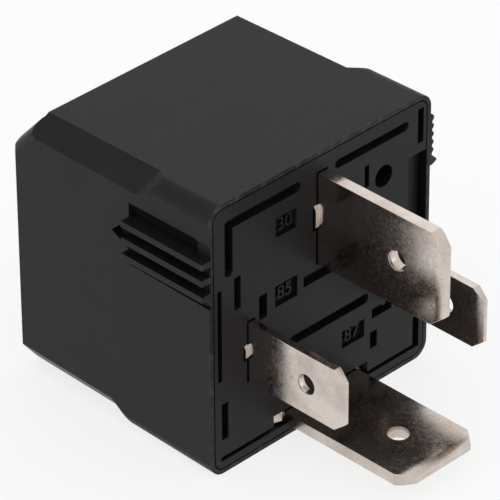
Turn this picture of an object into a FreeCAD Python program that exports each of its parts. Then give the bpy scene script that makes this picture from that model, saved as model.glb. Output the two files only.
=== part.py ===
import FreeCAD, Part
import math
import os
import Sketcher

# Automotive power relay, one normally open contact, 28 mm square plug-in format.
# X runs across the width, Y from the terminals to the closed end, Z from terminal 87 up to terminal 30.
# The origin is the centre of the cover's mouth, where the relay meets its socket.

doc = FreeCAD.newDocument("automotive_relay")
sheet = doc.addObject("Spreadsheet::Sheet", "sizes")


class Size:
    """A number in millimetres that remembers how it follows from the sheet."""

    def __init__(self, value, text):
        self.value = value
        self.text = text

    def joined(self, other, sign, value):
        return Size(value, "(" + self.text + " " + sign + " " + text_of(other) + ")")

    def __add__(self, other):
        return self.joined(other, "+", self.value + number(other))

    def __sub__(self, other):
        return self.joined(other, "-", self.value - number(other))

    def __mul__(self, other):
        return self.joined(other, "*", self.value * number(other))

    def __truediv__(self, other):
        return self.joined(other, "/", self.value / number(other))

    def __neg__(self):
        return Size(-self.value, "(0 - " + self.text + ")")

    def __radd__(self, other):
        return plain(other) + self

    def __rsub__(self, other):
        return plain(other) - self

    def __rmul__(self, other):
        return plain(other) * self


def plain(value):
    return Size(float(value), format(float(value), ".6f"))


def number(value):
    return value.value if isinstance(value, Size) else float(value)


def text_of(value):
    return value.text if isinstance(value, Size) else plain(value).text


def smaller(one, other):
    return Size(min(one.value, other.value), "min(" + one.text + "; " + other.text + ")")


def bind(target, prop, value):
    target.setExpression(prop, text_of(value))


sheet_row = [0]


def size(alias, value):
    """One driving dimension: a cell of the sheet with its name."""
    sheet_row[0] = sheet_row[0] + 1
    cell = "B" + str(sheet_row[0])
    sheet.set("A" + str(sheet_row[0]), alias)
    sheet.set(cell, str(value))
    sheet.setAlias(cell, alias)
    return Size(float(value), "sizes." + alias)


# Cover
cover_width = size("cover_width", 28.0)
cover_height = size("cover_height", 28.4)
cover_depth = size("cover_depth", 25.4)
cover_wall = size("cover_wall", 1.0)
cover_end_wall = size("cover_end_wall", 1.1)
draft_slope = size("draft_slope", 0.0157)
mouth_corner = size("mouth_corner", 1.6)
collar_length = size("collar_length", 13.4)
corner_cut = size("corner_cut", 2.2)
corner_cut_left = size("corner_cut_left", 1.8)
corner_cut_side = size("corner_cut_side", 2.3)
ramp_start_top = size("ramp_start_top", 5.7)
ramp_start_bottom = size("ramp_start_bottom", 9.55)
ramp_slope = size("ramp_slope", 0.84)
ramp_lean = size("ramp_lean", 0.762)
end_slope_depth = size("end_slope_depth", 3.3)
end_slope_drop = size("end_slope_drop", 3.7)
end_slope_step = size("end_slope_step", 0.35)
end_chamfer = size("end_chamfer", 0.4)
lip_wall = size("lip_wall", 0.45)
rebate_depth = size("rebate_depth", 1.35)

# Bracket rails on the left of the cover, and the ribbed guide on its right
rail_reach = size("rail_reach", 0.85)
rail_thickness = size("rail_thickness", 0.62)
rail_pitch = size("rail_pitch", 1.68)
rail_length = size("rail_length", 10.1)
rail_top = size("rail_top", 9.1)
scoop_depth = size("scoop_depth", 0.9)
scoop_backing = size("scoop_backing", 1.0)
guide_top = size("guide_top", 11.5)
guide_length = size("guide_length", 9.6)
guide_height = size("guide_height", 0.42)
guide_rib_pitch = size("guide_rib_pitch", 0.84)
guide_rib_depth = size("guide_rib_depth", 0.2)

# Base plate
flange_thickness = size("flange_thickness", 1.2)
plug_depth = size("plug_depth", 3.2)
fit_gap = size("fit_gap", 0.12)
groove_depth = size("groove_depth", 0.9)
label_depth = size("label_depth", 0.5)
vent_diameter = size("vent_diameter", 2.2)
latch_low = size("latch_low", -4.0)
latch_height = size("latch_height", 6.5)
latch_catch_y = size("latch_catch_y", 4.3)
latch_barb = size("latch_barb", 0.45)
slot_gap = size("slot_gap", 0.12)

# Terminals
broad_width = size("broad_width", 9.5)
broad_thickness = size("broad_thickness", 1.2)
broad_length = size("broad_length", 15.1)
broad_hole_back = size("broad_hole_back", 5.5)
small_width = size("small_width", 6.3)
small_thickness = size("small_thickness", 0.8)
small_length = size("small_length", 11.7)
small_hole_back = size("small_hole_back", 4.6)
detent_hole = size("detent_hole", 2.0)
tip_bevel = size("tip_bevel", 1.05)
tip_face = size("tip_face", 0.5)
terminal_30_drop = size("terminal_30_drop", 6.9)
terminal_87_rise = size("terminal_87_rise", 2.2)
coil_terminal_inset = size("coil_terminal_inset", 5.1)
coil_terminal_z = size("coil_terminal_z", -2.65)
seat_depth = size("seat_depth", 2.4)
shoulder_reach = size("shoulder_reach", 1.2)
arm_half = size("arm_half", 3.6)
boss_y = size("boss_y", 0.33)
boss_height = size("boss_height", 0.42)
post_width = size("post_width", 1.6)
post_end = size("post_end", 10.4)

# Magnet
yoke_thickness = size("yoke_thickness", 1.6)
yoke_width = size("yoke_width", 14.0)
yoke_foot_y = size("yoke_foot_y", 5.2)
ear_width = size("ear_width", 1.6)
yoke_leg_drop = size("yoke_leg_drop", 4.0)
end_room = size("end_room", 5.0)
former_room = size("former_room", 1.6)
core_neck_step = size("core_neck_step", 1.0)
core_tail_step = size("core_tail_step", 0.4)
bobbin_flange = size("bobbin_flange", 1.0)
tape_margin = size("tape_margin", 0.6)
pole_radius = size("pole_radius", 5.0)
pole_thickness = size("pole_thickness", 1.2)
coil_side_room = size("coil_side_room", 5.4)
coil_leg_room = size("coil_leg_room", 0.3)
flange_overhang = size("flange_overhang", 0.6)
wire_diameter = size("wire_diameter", 0.3)

# Armature, leaf and contacts
armature_thickness = size("armature_thickness", 1.4)
stop_x = size("stop_x", 5.0)
stop_width = size("stop_width", 2.4)
stop_thickness = size("stop_thickness", 0.8)
stop_root = size("stop_root", 1.25)
leaf_thickness = size("leaf_thickness", 0.25)
leaf_width = size("leaf_width", 9.0)
leaf_bend = size("leaf_bend", 1.2)
leaf_tail = size("leaf_tail", 2.6)
contact_rise = size("contact_rise", 2.6)
contact_radius = size("contact_radius", 2.4)
contact_gap = size("contact_gap", 1.2)
shank_radius = size("shank_radius", 1.0)
pin_radius = size("pin_radius", 0.8)
leaf_pin_spread = size("leaf_pin_spread", 3.2)
leaf_pin_back = size("leaf_pin_back", 5.9)
flap_pin_spread = size("flap_pin_spread", 2.6)
flap_pin_drop = size("flap_pin_drop", 7.0)
braid_radius = size("braid_radius", 0.7)

small_clearance = 0.05

# Places that follow from the cover
terminal_30_z = cover_height / 2 - terminal_30_drop
terminal_87_z = -cover_height / 2 + terminal_87_rise
coil_terminal_x = cover_width / 2 - coil_terminal_inset
yoke_leg_z = cover_height / 2 - yoke_leg_drop
yoke_end_y = cover_depth - end_room
pole_face_y = yoke_end_y - 0.7
armature_y = yoke_end_y + 0.2
armature_hinge_z = yoke_leg_z + 0.2

# Places that follow from the contacts and from the room left for the coil
contact_z = terminal_87_z + contact_rise
armature_end_z = contact_z + 4.4
leaf_end_z = contact_z - leaf_tail
stop_z = contact_z - 1.2
shelf_top = contact_z + contact_radius - 0.2
coil_z = (yoke_leg_z + shelf_top) / 2 - 0.2
bobbin_half = smaller(yoke_leg_z - coil_z - coil_leg_room, cover_width / 2 - coil_side_room)
winding_radius = bobbin_half - flange_overhang
core_radius = (bobbin_half - former_room) / 2
core_neck_radius = core_radius - core_neck_step
core_tail_radius = core_radius - core_tail_step
winding_low = yoke_foot_y + yoke_thickness + bobbin_flange + small_clearance * 2
winding_high = pole_face_y - pole_thickness - bobbin_flange - small_clearance * 2
foot_low = coil_z + core_tail_radius + 1.3
foot_high = terminal_30_z + 3.2
foot_reach = cover_width / 2 - 4.0
foot_pin_x = foot_reach - 5.6
foot_pin_z = (foot_low + foot_high) / 2 + 0.2
leaf_pin_y = yoke_end_y - leaf_pin_back
flap_pin_z = armature_hinge_z - flap_pin_drop


def origin_plane(body, role):
    for item in body.Origin.OriginFeatures:
        if item.Role == role:
            return item
    raise ValueError(role)


def new_body(label):
    body = doc.addObject("PartDesign::Body", label)
    body.Label = label
    return body


def sketch_on(body, name, role, offset):
    sketch = body.newObject("Sketcher::SketchObject", name)
    sketch.AttachmentSupport = [(origin_plane(body, role), "")]
    sketch.MapMode = "FlatFace"
    bind(sketch, "AttachmentOffset.Base.z", offset)
    return sketch


def sketch_across(body, name, y):
    """A sketch on a plane square to Y: its own axes are X and Z."""
    return sketch_on(body, name, "XZ_Plane", plain(0) - y)


def sketch_along(body, name, x):
    """A sketch on a plane square to X: its own axes are Y and Z."""
    return sketch_on(body, name, "YZ_Plane", x)


def sketch_level(body, name, z):
    """A sketch on a plane square to Z: its own axes are X and Y."""
    return sketch_on(body, name, "XY_Plane", z)


def point(value_pair):
    return FreeCAD.Vector(number(value_pair[0]), number(value_pair[1]), 0)


def hold(sketch, kind, index, place, value):
    """Holds one point of the sketch at a stated distance from the origin."""
    row = sketch.addConstraint(Sketcher.Constraint(kind, -1, 1, index, place, number(value)))
    bind(sketch, "Constraints[" + str(row) + "]", value)


def hold_point(sketch, index, place, pair):
    hold(sketch, "DistanceX", index, place, pair[0])
    hold(sketch, "DistanceY", index, place, pair[1])


def polygon(sketch, corners):
    first = sketch.GeometryCount
    count = len(corners)
    for i in range(count):
        sketch.addGeometry(Part.LineSegment(point(corners[i]), point(corners[(i + 1) % count])), False)
    for i in range(count):
        sketch.addConstraint(Sketcher.Constraint("Coincident", first + i, 2, first + (i + 1) % count, 1))
        hold_point(sketch, first + i, 1, corners[i])


def rectangle(sketch, low, high):
    polygon(sketch, [(low[0], low[1]), (high[0], low[1]), (high[0], high[1]), (low[0], high[1])])


def circle(sketch, centre, radius):
    index = sketch.addGeometry(Part.Circle(point(centre), FreeCAD.Vector(0, 0, 1), number(radius)), False)
    hold_point(sketch, index, 3, centre)
    row = sketch.addConstraint(Sketcher.Constraint("Radius", index, number(radius)))
    bind(sketch, "Constraints[" + str(row) + "]", radius)


def arc(sketch, centre, radius, start, end):
    shape = Part.Circle(point(centre), FreeCAD.Vector(0, 0, 1), number(radius))
    return sketch.addGeometry(Part.ArcOfCircle(shape, math.radians(start), math.radians(end)), False)


def rounded_rectangle(sketch, centre, half_x, half_z, radius):
    """Four sides and four tangent corner arcs, held by the outline's edges and one radius."""
    left = centre[0] - half_x
    right = centre[0] + half_x
    low = centre[1] - half_z
    high = centre[1] + half_z
    first = sketch.GeometryCount
    sides = [((left + radius, low), (right - radius, low)), ((right, low + radius), (right, high - radius)),
             ((right - radius, high), (left + radius, high)), ((left, high - radius), (left, low + radius))]
    centres = [(right - radius, low + radius), (right - radius, high - radius),
               (left + radius, high - radius), (left + radius, low + radius)]
    for side in sides:
        sketch.addGeometry(Part.LineSegment(point(side[0]), point(side[1])), False)
    for i in range(4):
        arc(sketch, centres[i], radius, 90 * i - 90, 90 * i)
    for i in range(4):
        sketch.addConstraint(Sketcher.Constraint("Tangent", first + i, 2, first + 4 + i, 1))
        sketch.addConstraint(Sketcher.Constraint("Tangent", first + 4 + i, 2, first + (i + 1) % 4, 1))
        sketch.addConstraint(Sketcher.Constraint("Vertical" if i % 2 else "Horizontal", first + i))
    for i in range(3):
        sketch.addConstraint(Sketcher.Constraint("Equal", first + 4 + i, first + 5 + i))
    row = sketch.addConstraint(Sketcher.Constraint("Radius", first + 4, number(radius)))
    bind(sketch, "Constraints[" + str(row) + "]", radius)
    hold(sketch, "DistanceY", first, 1, low)
    hold(sketch, "DistanceX", first + 1, 1, right)
    hold(sketch, "DistanceY", first + 2, 1, high)
    hold(sketch, "DistanceX", first + 3, 1, left)


def obround(sketch, start, end, radius):
    """A slot with round ends, lying along the sketch's first axis or along its second."""
    level = abs(number(end[0]) - number(start[0])) > abs(number(end[1]) - number(start[1]))
    across = (0, radius) if level else (radius, 0)
    turn = 0 if level else 90
    first = sketch.GeometryCount
    if level:
        sides = [((start[0], start[1] - radius), (end[0], end[1] - radius)),
                 ((end[0], end[1] + radius), (start[0], start[1] + radius))]
    else:
        sides = [((start[0] + radius, start[1]), (end[0] + radius, end[1])),
                 ((end[0] - radius, end[1]), (start[0] - radius, start[1]))]
    for side in sides:
        sketch.addGeometry(Part.LineSegment(point(side[0]), point(side[1])), False)
    arc(sketch, end, radius, turn - 90, turn + 90)
    arc(sketch, start, radius, turn + 90, turn + 270)
    pairs = [(first, first + 2), (first + 2, first + 1), (first + 1, first + 3), (first + 3, first)]
    for one, next_one in pairs:
        sketch.addConstraint(Sketcher.Constraint("Tangent", one, 2, next_one, 1))
    sketch.addConstraint(Sketcher.Constraint("Equal", first + 2, first + 3))
    hold_point(sketch, first + 2, 3, end)
    hold_point(sketch, first + 3, 3, start)
    row = sketch.addConstraint(Sketcher.Constraint("Radius", first + 2, number(radius)))
    bind(sketch, "Constraints[" + str(row) + "]", radius)


def feature(body, kind, name, sketch):
    item = body.newObject("PartDesign::" + kind, name)
    item.Profile = sketch
    item.Refine = True
    return item


def pad(body, name, sketch, length, reverse=False, both=False):
    item = feature(body, "Pad", name, sketch)
    bind(item, "Length", length)
    item.Reversed = reverse
    item.SideType = "Symmetric" if both else "One side"
    return item


def pad_inward(body, name, sketch, length):
    """Grows from a sketch square to Y towards the closed end."""
    return pad(body, name, sketch, length, reverse=True)


def pocket(body, name, sketch, length, reverse=False, both=False):
    item = feature(body, "Pocket", name, sketch)
    item.Type = "Length"
    bind(item, "Length", length)
    item.Reversed = reverse
    item.SideType = "Symmetric" if both else "One side"
    return item


def loft(body, kind, name, near, far):
    item = feature(body, kind, name, near)
    item.Sections = [far]
    item.Ruled = True
    return item


def revolve(body, name, sketch):
    """Turns a profile of radius and height about the sketch's upright axis."""
    item = feature(body, "Revolution", name, sketch)
    item.ReferenceAxis = (sketch, ["V_Axis"])
    item.Angle = 360.0
    return item


def edges_where(shape, test):
    return ["Edge" + str(i + 1) for i, edge in enumerate(shape.Edges) if test(edge)]


def fillet(body, name, base, radius, test):
    doc.recompute()
    item = body.newObject("PartDesign::Fillet", name)
    item.Base = (base, edges_where(base.Shape, test))
    bind(item, "Radius", radius)
    return item


def chamfer(body, name, base, length, test):
    doc.recompute()
    item = body.newObject("PartDesign::Chamfer", name)
    item.Base = (base, edges_where(base.Shape, test))
    bind(item, "Size", length)
    return item


def near(value, target, tolerance=0.02):
    return abs(value - number(target)) < tolerance


def is_line_at(edge, axis, places):
    """True for a straight edge along one axis whose other coordinates are as stated."""
    box = edge.BoundBox
    lengths = {"x": box.XLength, "y": box.YLength, "z": box.ZLength}
    middles = {"x": box.Center.x, "y": box.Center.y, "z": box.Center.z}
    if not isinstance(edge.Curve, Part.Line) or lengths[axis] < 0.8 * edge.Length:
        return False
    return all(near(middles[key], place) for key, place in places.items())


def half_width(y):
    return cover_width / 2 - draft_slope * y


def half_height(y):
    return cover_height / 2 - draft_slope * y


def from_left(distance):
    return -cover_width / 2 + distance


def from_right(distance):
    return cover_width / 2 - distance


def from_top(distance):
    return cover_height / 2 - distance


def from_bottom(distance):
    return -cover_height / 2 + distance


def cut_corners(half_x, half_z, cut):
    return [(half_x - cut, -half_z), (half_x, -half_z + cut), (half_x, half_z - cut), (half_x - cut, half_z),
            (-half_x + cut, half_z), (-half_x, half_z - cut), (-half_x, -half_z + cut), (-half_x + cut, -half_z)]


def drafted_pad(body, name, sketch, length):
    """Grows towards the closed end and narrows with the mould draft."""
    item = pad_inward(body, name, sketch, length)
    bind(item, "TaperAngle", Size(0, "-atan(" + draft_slope.text + ")"))
    return item


def cover_section(y):
    """The outline behind the collar; the left corners are cut a little less along the top."""
    x = half_width(y)
    z = half_height(y)
    right = x - corner_cut
    left = -x + corner_cut_left
    side = z - corner_cut_side
    return [(right, -z), (x, -side), (x, side), (right, z), (left, z), (-x, side), (-x, -side), (left, -z)]


def collar_ramps(body):
    """At each corner a slanted ramp leads from the collar's round down to the cut face."""
    for sx in (-1, 1):
        for sz, start in ((-1, ramp_start_bottom), (1, ramp_start_top)):
            tag = ("right_" if sx > 0 else "left_") + ("top" if sz > 0 else "bottom")
            sections = []
            for label, along in (("near", plain(0.5)), ("far", plain(8.5))):
                y = start + along
                reach = along * ramp_slope
                x = half_width(y)
                z = half_height(y)
                sketch = sketch_across(body, "ramp_" + label + "_" + tag, y)
                polygon(sketch, [((x - reach - 1) * sx, (z + ramp_lean) * sz),
                                 ((x + 1) * sx, (z - (reach + 1) * ramp_lean) * sz),
                                 ((x + 1) * sx, (z + ramp_lean) * sz)])
                sections.append(sketch)
            loft(body, "SubtractiveLoft", "ramp_cut_" + tag, sections[0], sections[1])


def cover_outside():
    """A collar with round corners; behind it the four long edges are cut, and the top ends in a slope."""
    body = new_body("cover_outside")
    mouth = sketch_across(body, "mouth_outline", 0)
    rounded_rectangle(mouth, (plain(0), plain(0)), half_width(0), half_height(0), mouth_corner)
    drafted_pad(body, "collar", mouth, collar_length)
    collar_ramps(body)
    inner_start = ramp_start_top - 0.7
    case = sketch_across(body, "case_outline", inner_start)
    polygon(case, cover_section(inner_start))
    drafted_pad(body, "case", case, cover_depth - inner_start)
    slope = sketch_along(body, "end_slope_profile", 0)
    top = half_height(cover_depth)
    start = cover_depth - end_slope_depth
    polygon(slope, [(start, half_height(start)), (start + 0.15, half_height(start) - end_slope_step),
                    (cover_depth + 0.01, top - end_slope_drop), (cover_depth + 3, top - end_slope_drop),
                    (cover_depth + 3, top + 3), (start, top + 3)])
    sloped = pocket(body, "end_slope", slope, cover_width + 4, both=True)
    chamfer(body, "end_edges", sloped, end_chamfer, lambda edge: near(edge.BoundBox.YMin, cover_depth, 0.05))
    bracket_rails(body)
    ribbed_guide(body)
    return body


def bracket_rails(body):
    """A scooped recess in the left wall, open at the mouth, with three fins that stand proud of it."""
    low = rail_top - rail_pitch * 3
    floor = -cover_width / 2 + scoop_depth
    lip_floor = -cover_width / 2 + lip_wall - 0.2
    outer = -cover_width / 2 - 3
    above = rail_top + rail_thickness
    scoop = sketch_across(body, "scoop_profile", rebate_depth + 0.25)
    polygon(scoop, [(outer, low), (floor, low), (floor, above), (outer, rail_top + 5)])
    trough = pocket(body, "scoop", scoop, rail_length - rebate_depth - 0.25)
    fillet(body, "scoop_round", trough, scoop_depth * 2,
           lambda edge: is_line_at(edge, "y", {"x": floor, "z": above}))
    mouth = sketch_across(body, "scoop_mouth_profile", -1)
    polygon(mouth, [(outer, low), (lip_floor, low), (lip_floor, above + 0.6), (outer, rail_top + 5)])
    pocket(body, "scoop_mouth", mouth, rebate_depth + 1.3)
    wedge = sketch_along(body, "wedge_profile", outer)
    polygon(wedge, [(rail_length - 0.1, low + 1.5), (rail_length + 2.3, rail_top - 2.4),
                    (rail_length + 0.6, rail_top - 0.9), (rail_length - 0.1, rail_top - 0.9)])
    pocket(body, "wedge", wedge, scoop_depth + 3, reverse=True)
    fins = sketch_along(body, "fin_profile", floor + 0.1)
    for i in range(3):
        top = rail_top - rail_pitch * i
        rectangle(fins, (plain(0), top - rail_thickness), (rail_length, top))
    pad(body, "fins", fins, scoop_depth + rail_reach + 0.1, reverse=True)


def ribbed_guide(body):
    """The other side's guide: a low pad with fine ribs along it, and a lip under them."""
    face = cover_width / 2 + guide_height
    root = cover_width / 2 - lip_wall + 0.2
    outline = [(root, guide_top), (face - 0.1, guide_top)]
    for i in range(5):
        crest = guide_top - guide_rib_pitch * (i + 0.5)
        outline.append((face, crest + guide_rib_pitch * 0.3))
        outline.append((face, crest))
        outline.append((face - guide_rib_depth, crest - guide_rib_pitch * 0.25))
        outline.append((face - guide_rib_depth, crest - guide_rib_pitch * 0.5))
    last = guide_top - guide_rib_pitch * 5.6
    tip = cover_width / 2 + rail_reach
    outline.extend([(tip, last - 0.15), (tip, last - 0.3), (face - 0.1, last - 0.55), (root, last - 0.55)])
    profile = sketch_across(body, "guide_profile", 0)
    polygon(profile, outline)
    pad_inward(body, "guide", profile, guide_length)


def cover_inside():
    """The hollow of the cover, made as the solid that it would hold."""
    body = new_body("cover_inside")
    hollow_end = cover_depth - cover_end_wall
    mouth = sketch_across(body, "hollow_mouth", -1)
    corner = corner_cut - cover_wall * 0.586
    polygon(mouth, cut_corners(half_width(-1) - cover_wall, half_height(-1) - cover_wall, corner))
    end = sketch_across(body, "hollow_end", hollow_end)
    polygon(end, cut_corners(half_width(hollow_end) - cover_wall, half_height(hollow_end) - cover_wall, corner))
    loft(body, "AdditiveLoft", "hollow", mouth, end)
    slope = sketch_along(body, "hollow_slope_profile", 0)
    shift = cover_wall * 1.4
    top = half_height(cover_depth)
    start = cover_depth - end_slope_depth
    polygon(slope, [(start - shift, half_height(start)), (cover_depth - shift, top - end_slope_drop),
                    (cover_depth + 3, top - end_slope_drop), (cover_depth + 3, top + 3), (start - shift, top + 3)])
    pocket(body, "hollow_slope", slope, cover_width + 4, both=True)
    for side in (-1, 1):
        tag = "left" if side < 0 else "right"
        backing = sketch_across(body, "backing_profile_" + tag, rebate_depth + 0.15)
        inner = (cover_width / 2 - cover_wall - scoop_backing) * side
        outer = (cover_width / 2 + 2) * side
        rectangle(backing, (inner, rail_top - rail_pitch * 3 - 0.9), (outer, rail_top + 2.9))
        pocket(body, "backing_" + tag, backing, rail_length + 1.6)
        window = sketch_across(body, "latch_window_profile_" + tag, latch_catch_y - 0.2)
        seat = (cover_width / 2 - cover_wall - 0.5) * side
        rectangle(window, (seat, latch_low - 0.3), (seat + (latch_barb * 2) * side, latch_low + latch_height + 0.3))
        pad_inward(body, "latch_window_" + tag, window, 1.6)
    rebate = sketch_across(body, "rebate_outline", -1)
    rounded_rectangle(rebate, (plain(0), plain(0)), cover_width / 2 - lip_wall, cover_height / 2 - lip_wall,
                      mouth_corner - lip_wall)
    pad_inward(body, "rebate", rebate, rebate_depth + 1)
    return body


def make_cover():
    outside = cover_outside()
    inside = cover_inside()
    doc.recompute()
    cover = doc.addObject("Part::Cut", "cover")
    cover.Base = outside
    cover.Tool = inside
    cover.Refine = True
    return cover


def base_blank(body):
    """The flange that sits in the cover's rebate, the plug behind it and the two latch tongues."""
    reach = lip_wall + fit_gap
    outline = sketch_across(body, "flange_outline", 0)
    rounded_rectangle(outline, (plain(0), plain(0)), cover_width / 2 - reach, cover_height / 2 - reach,
                      mouth_corner - reach)
    pad_inward(body, "flange", outline, flange_thickness)
    plug_x = cover_width / 2 - cover_wall - scoop_backing - fit_gap * 2
    plug_z = cover_height / 2 - cover_wall - fit_gap * 1.5
    plug = sketch_across(body, "plug_outline", flange_thickness - 0.1)
    polygon(plug, cut_corners(plug_x, plug_z, corner_cut))
    pad_inward(body, "plug", plug, plug_depth - flange_thickness + 0.1)
    for side in (-1, 1):
        tag = "left" if side < 0 else "right"
        face = (cover_width / 2 - cover_wall - fit_gap * 2) * side
        tongue = sketch_across(body, "tongue_profile_" + tag, flange_thickness - 0.1)
        rectangle(tongue, (face - 1.3 * side, latch_low), (face, latch_low + latch_height))
        pad_inward(body, "tongue_" + tag, tongue, latch_catch_y + 1.2 - flange_thickness)
        barb = sketch_level(body, "barb_profile_" + tag, latch_low)
        polygon(barb, [(face - 0.1 * side, latch_catch_y), (face + latch_barb * side, latch_catch_y),
                       (face, latch_catch_y + 1.1), (face - 0.1 * side, latch_catch_y + 1.1)])
        pad(body, "barb_" + tag, barb, latch_height)


def terminal_slots(body):
    """Each terminal sits in a full-width seat from the front and passes on through a narrower slot."""
    gap = slot_gap
    seats = sketch_across(body, "terminal_seats", 0)
    side_room = plain(0.55)
    broad = broad_width / 2 + gap
    small = small_width / 2 + gap
    rectangle(seats, (-broad_thickness / 2 - side_room, terminal_30_z - broad),
              (broad_thickness / 2 + gap, terminal_30_z + broad))
    for side in (-1, 1):
        middle = coil_terminal_x * side
        rectangle(seats, (middle - small_thickness / 2 - side_room, coil_terminal_z - small),
                  (middle + small_thickness / 2 + gap, coil_terminal_z + small))
    shoulder = broad_width / 2 + shoulder_reach + gap
    rectangle(seats, (-shoulder, terminal_87_z - broad_thickness / 2 - gap),
              (shoulder, terminal_87_z + broad_thickness / 2 + gap))
    pocket(body, "seats", seats, seat_depth + gap)
    slots = sketch_across(body, "terminal_slots", 0)
    rectangle(slots, (-broad_thickness / 2 - gap, foot_low - gap), (broad_thickness / 2 + gap, foot_high + gap))
    for side in (-1, 1):
        middle = coil_terminal_x * side
        rectangle(slots, (middle - small_thickness / 2 - gap, coil_terminal_z - post_width / 2 - gap),
                  (middle + small_thickness / 2 + gap, coil_terminal_z + post_width / 2 + gap))
    rectangle(slots, (-arm_half - gap, terminal_87_z - broad_thickness / 2 - gap),
              (arm_half + gap, terminal_87_z + broad_thickness / 2 + gap))
    pocket(body, "slots", slots, plug_depth + 1)


def face_grooves(body):
    """Grooves that keep the moulded face even in thickness, with the rim left standing round them."""
    bars = sketch_across(body, "long_grooves", 0)
    obround(bars, (from_left(3.1), from_top(2.45)), (plain(-3.2), from_top(2.45)), plain(0.5))
    obround(bars, (plain(2.1), from_top(2.35)), (from_right(3.4), from_top(2.35)), plain(0.45))
    obround(bars, (plain(-3.6), coil_terminal_z - 1.55), (plain(5.6), coil_terminal_z - 1.55), plain(0.5))
    pocket(body, "long_groove_cuts", bars, groove_depth)
    side_bars = sketch_across(body, "upright_grooves", 0)
    obround(side_bars, (from_left(2.4), from_top(7.3)), (from_left(2.4), from_top(2.45)), plain(0.48))
    rectangle(side_bars, (-coil_terminal_x + 1.0, coil_terminal_z + 2.65),
              (-coil_terminal_x + 2.0, coil_terminal_z + 5.15))
    rectangle(side_bars, (from_left(3.05), coil_terminal_z + 5.15), (from_left(3.85), coil_terminal_z + 8.55))
    rectangle(side_bars, (from_left(1.4), from_bottom(3.6)), (from_left(2.2), from_bottom(7.5)))
    rectangle(side_bars, (plain(6.4), from_bottom(4.1)), (plain(7.3), from_bottom(5.9)))
    rectangle(side_bars, (plain(-2.3), terminal_30_z - 6.5), (plain(1.5), terminal_30_z - 5.4))
    rectangle(side_bars, (coil_terminal_x - 2.3, coil_terminal_z - 4.2), (coil_terminal_x + 0.3, coil_terminal_z - 3.15))
    pocket(body, "upright_groove_cuts", side_bars, groove_depth)
    rim = sketch_across(body, "rim_channel", 0)
    low = from_bottom(1.35)
    end = from_bottom(4.8)
    polygon(rim, [(from_left(1.3), low), (from_right(1.1), low), (from_right(1.1), end), (from_right(1.9), end),
                  (from_right(1.9), low + 0.45), (from_left(1.3), low + 0.45)])
    pocket(body, "rim_channel_cut", rim, groove_depth)


def through_openings(body):
    """Vent hole, its slit, and the openings beside the latches."""
    holes = sketch_across(body, "openings", 0)
    vent_x = from_right(6.1)
    circle(holes, (vent_x, from_top(6.3)), vent_diameter / 2)
    rectangle(holes, (vent_x - 2.45, from_top(6.5)), (vent_x - 1.9, from_top(4.2)))
    pocket(body, "opening_cuts", holes, plug_depth + 1)
    deep = sketch_across(body, "latch_gaps", 0)
    rectangle(deep, (from_left(1.0), latch_low - 0.2), (from_left(1.5), plain(5.4)))
    rectangle(deep, (from_right(1.7), from_top(4.9)), (from_right(0.95), from_top(1.3)))
    pocket(body, "latch_gap_cuts", deep, flange_thickness + 0.4)
    notch = sketch_across(body, "finger_notch_outline", 0)
    rectangle(notch, (from_right(2.9), plain(-2.0)), (from_right(0), from_top(5.9)))
    pocket(body, "finger_notch", notch, groove_depth)


def label_fields(body):
    """A shallow field beside each terminal for its number."""
    fields = sketch_across(body, "label_fields", 0)
    rectangle(fields, (plain(-5.8), terminal_30_z + 0.4), (plain(-3.2), terminal_30_z + 2.4))
    rectangle(fields, (-coil_terminal_x + 3.0, coil_terminal_z + 3.05), (-coil_terminal_x + 5.8, coil_terminal_z + 5.25))
    for lift in (4.4, 1.7):
        rectangle(fields, (plain(2.4), terminal_87_z + lift), (plain(5.4), terminal_87_z + lift + 1.8))
    pocket(body, "label_field_cuts", fields, label_depth)


def stop_seat(body):
    seat = sketch_across(body, "stop_seat_profile", plug_depth)
    rectangle(seat, (stop_x - small_clearance, stop_z - small_clearance),
              (stop_x + stop_width + small_clearance, stop_z + stop_thickness + small_clearance))
    pocket(body, "stop_seat", seat, stop_root + small_clearance, reverse=True)


def make_base_plate():
    body = new_body("base_plate")
    base_blank(body)
    terminal_slots(body)
    face_grooves(body)
    through_openings(body)
    label_fields(body)
    stop_seat(body)
    return body


def tip_bevels(body, upright, centre, length, thickness):
    """Slopes both broad faces of a blade to a narrow tip."""
    half = thickness / 2
    lead = tip_face * thickness / 2
    profile = (sketch_level if upright else sketch_along)(body, "tip_bevel_profile", 0)
    for side in (-1, 1):
        outer = centre + (half + 1) * side
        face = centre + (half + 0.01) * side
        tip = centre + lead * side
        corners = [(outer, -length - 1), (tip, -length - 1), (tip, -length), (face, -length + tip_bevel),
                   (outer, -length + tip_bevel)]
        polygon(profile, corners if upright else [(y, x) for x, y in corners])
    pocket(body, "tip_bevels", profile, 60, both=True)


def blade_end(low, high, length, corner):
    return [(-length + corner, high), (-length, high - corner * 0.8), (-length, low + corner * 0.8),
            (-length + corner, low)]


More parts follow.
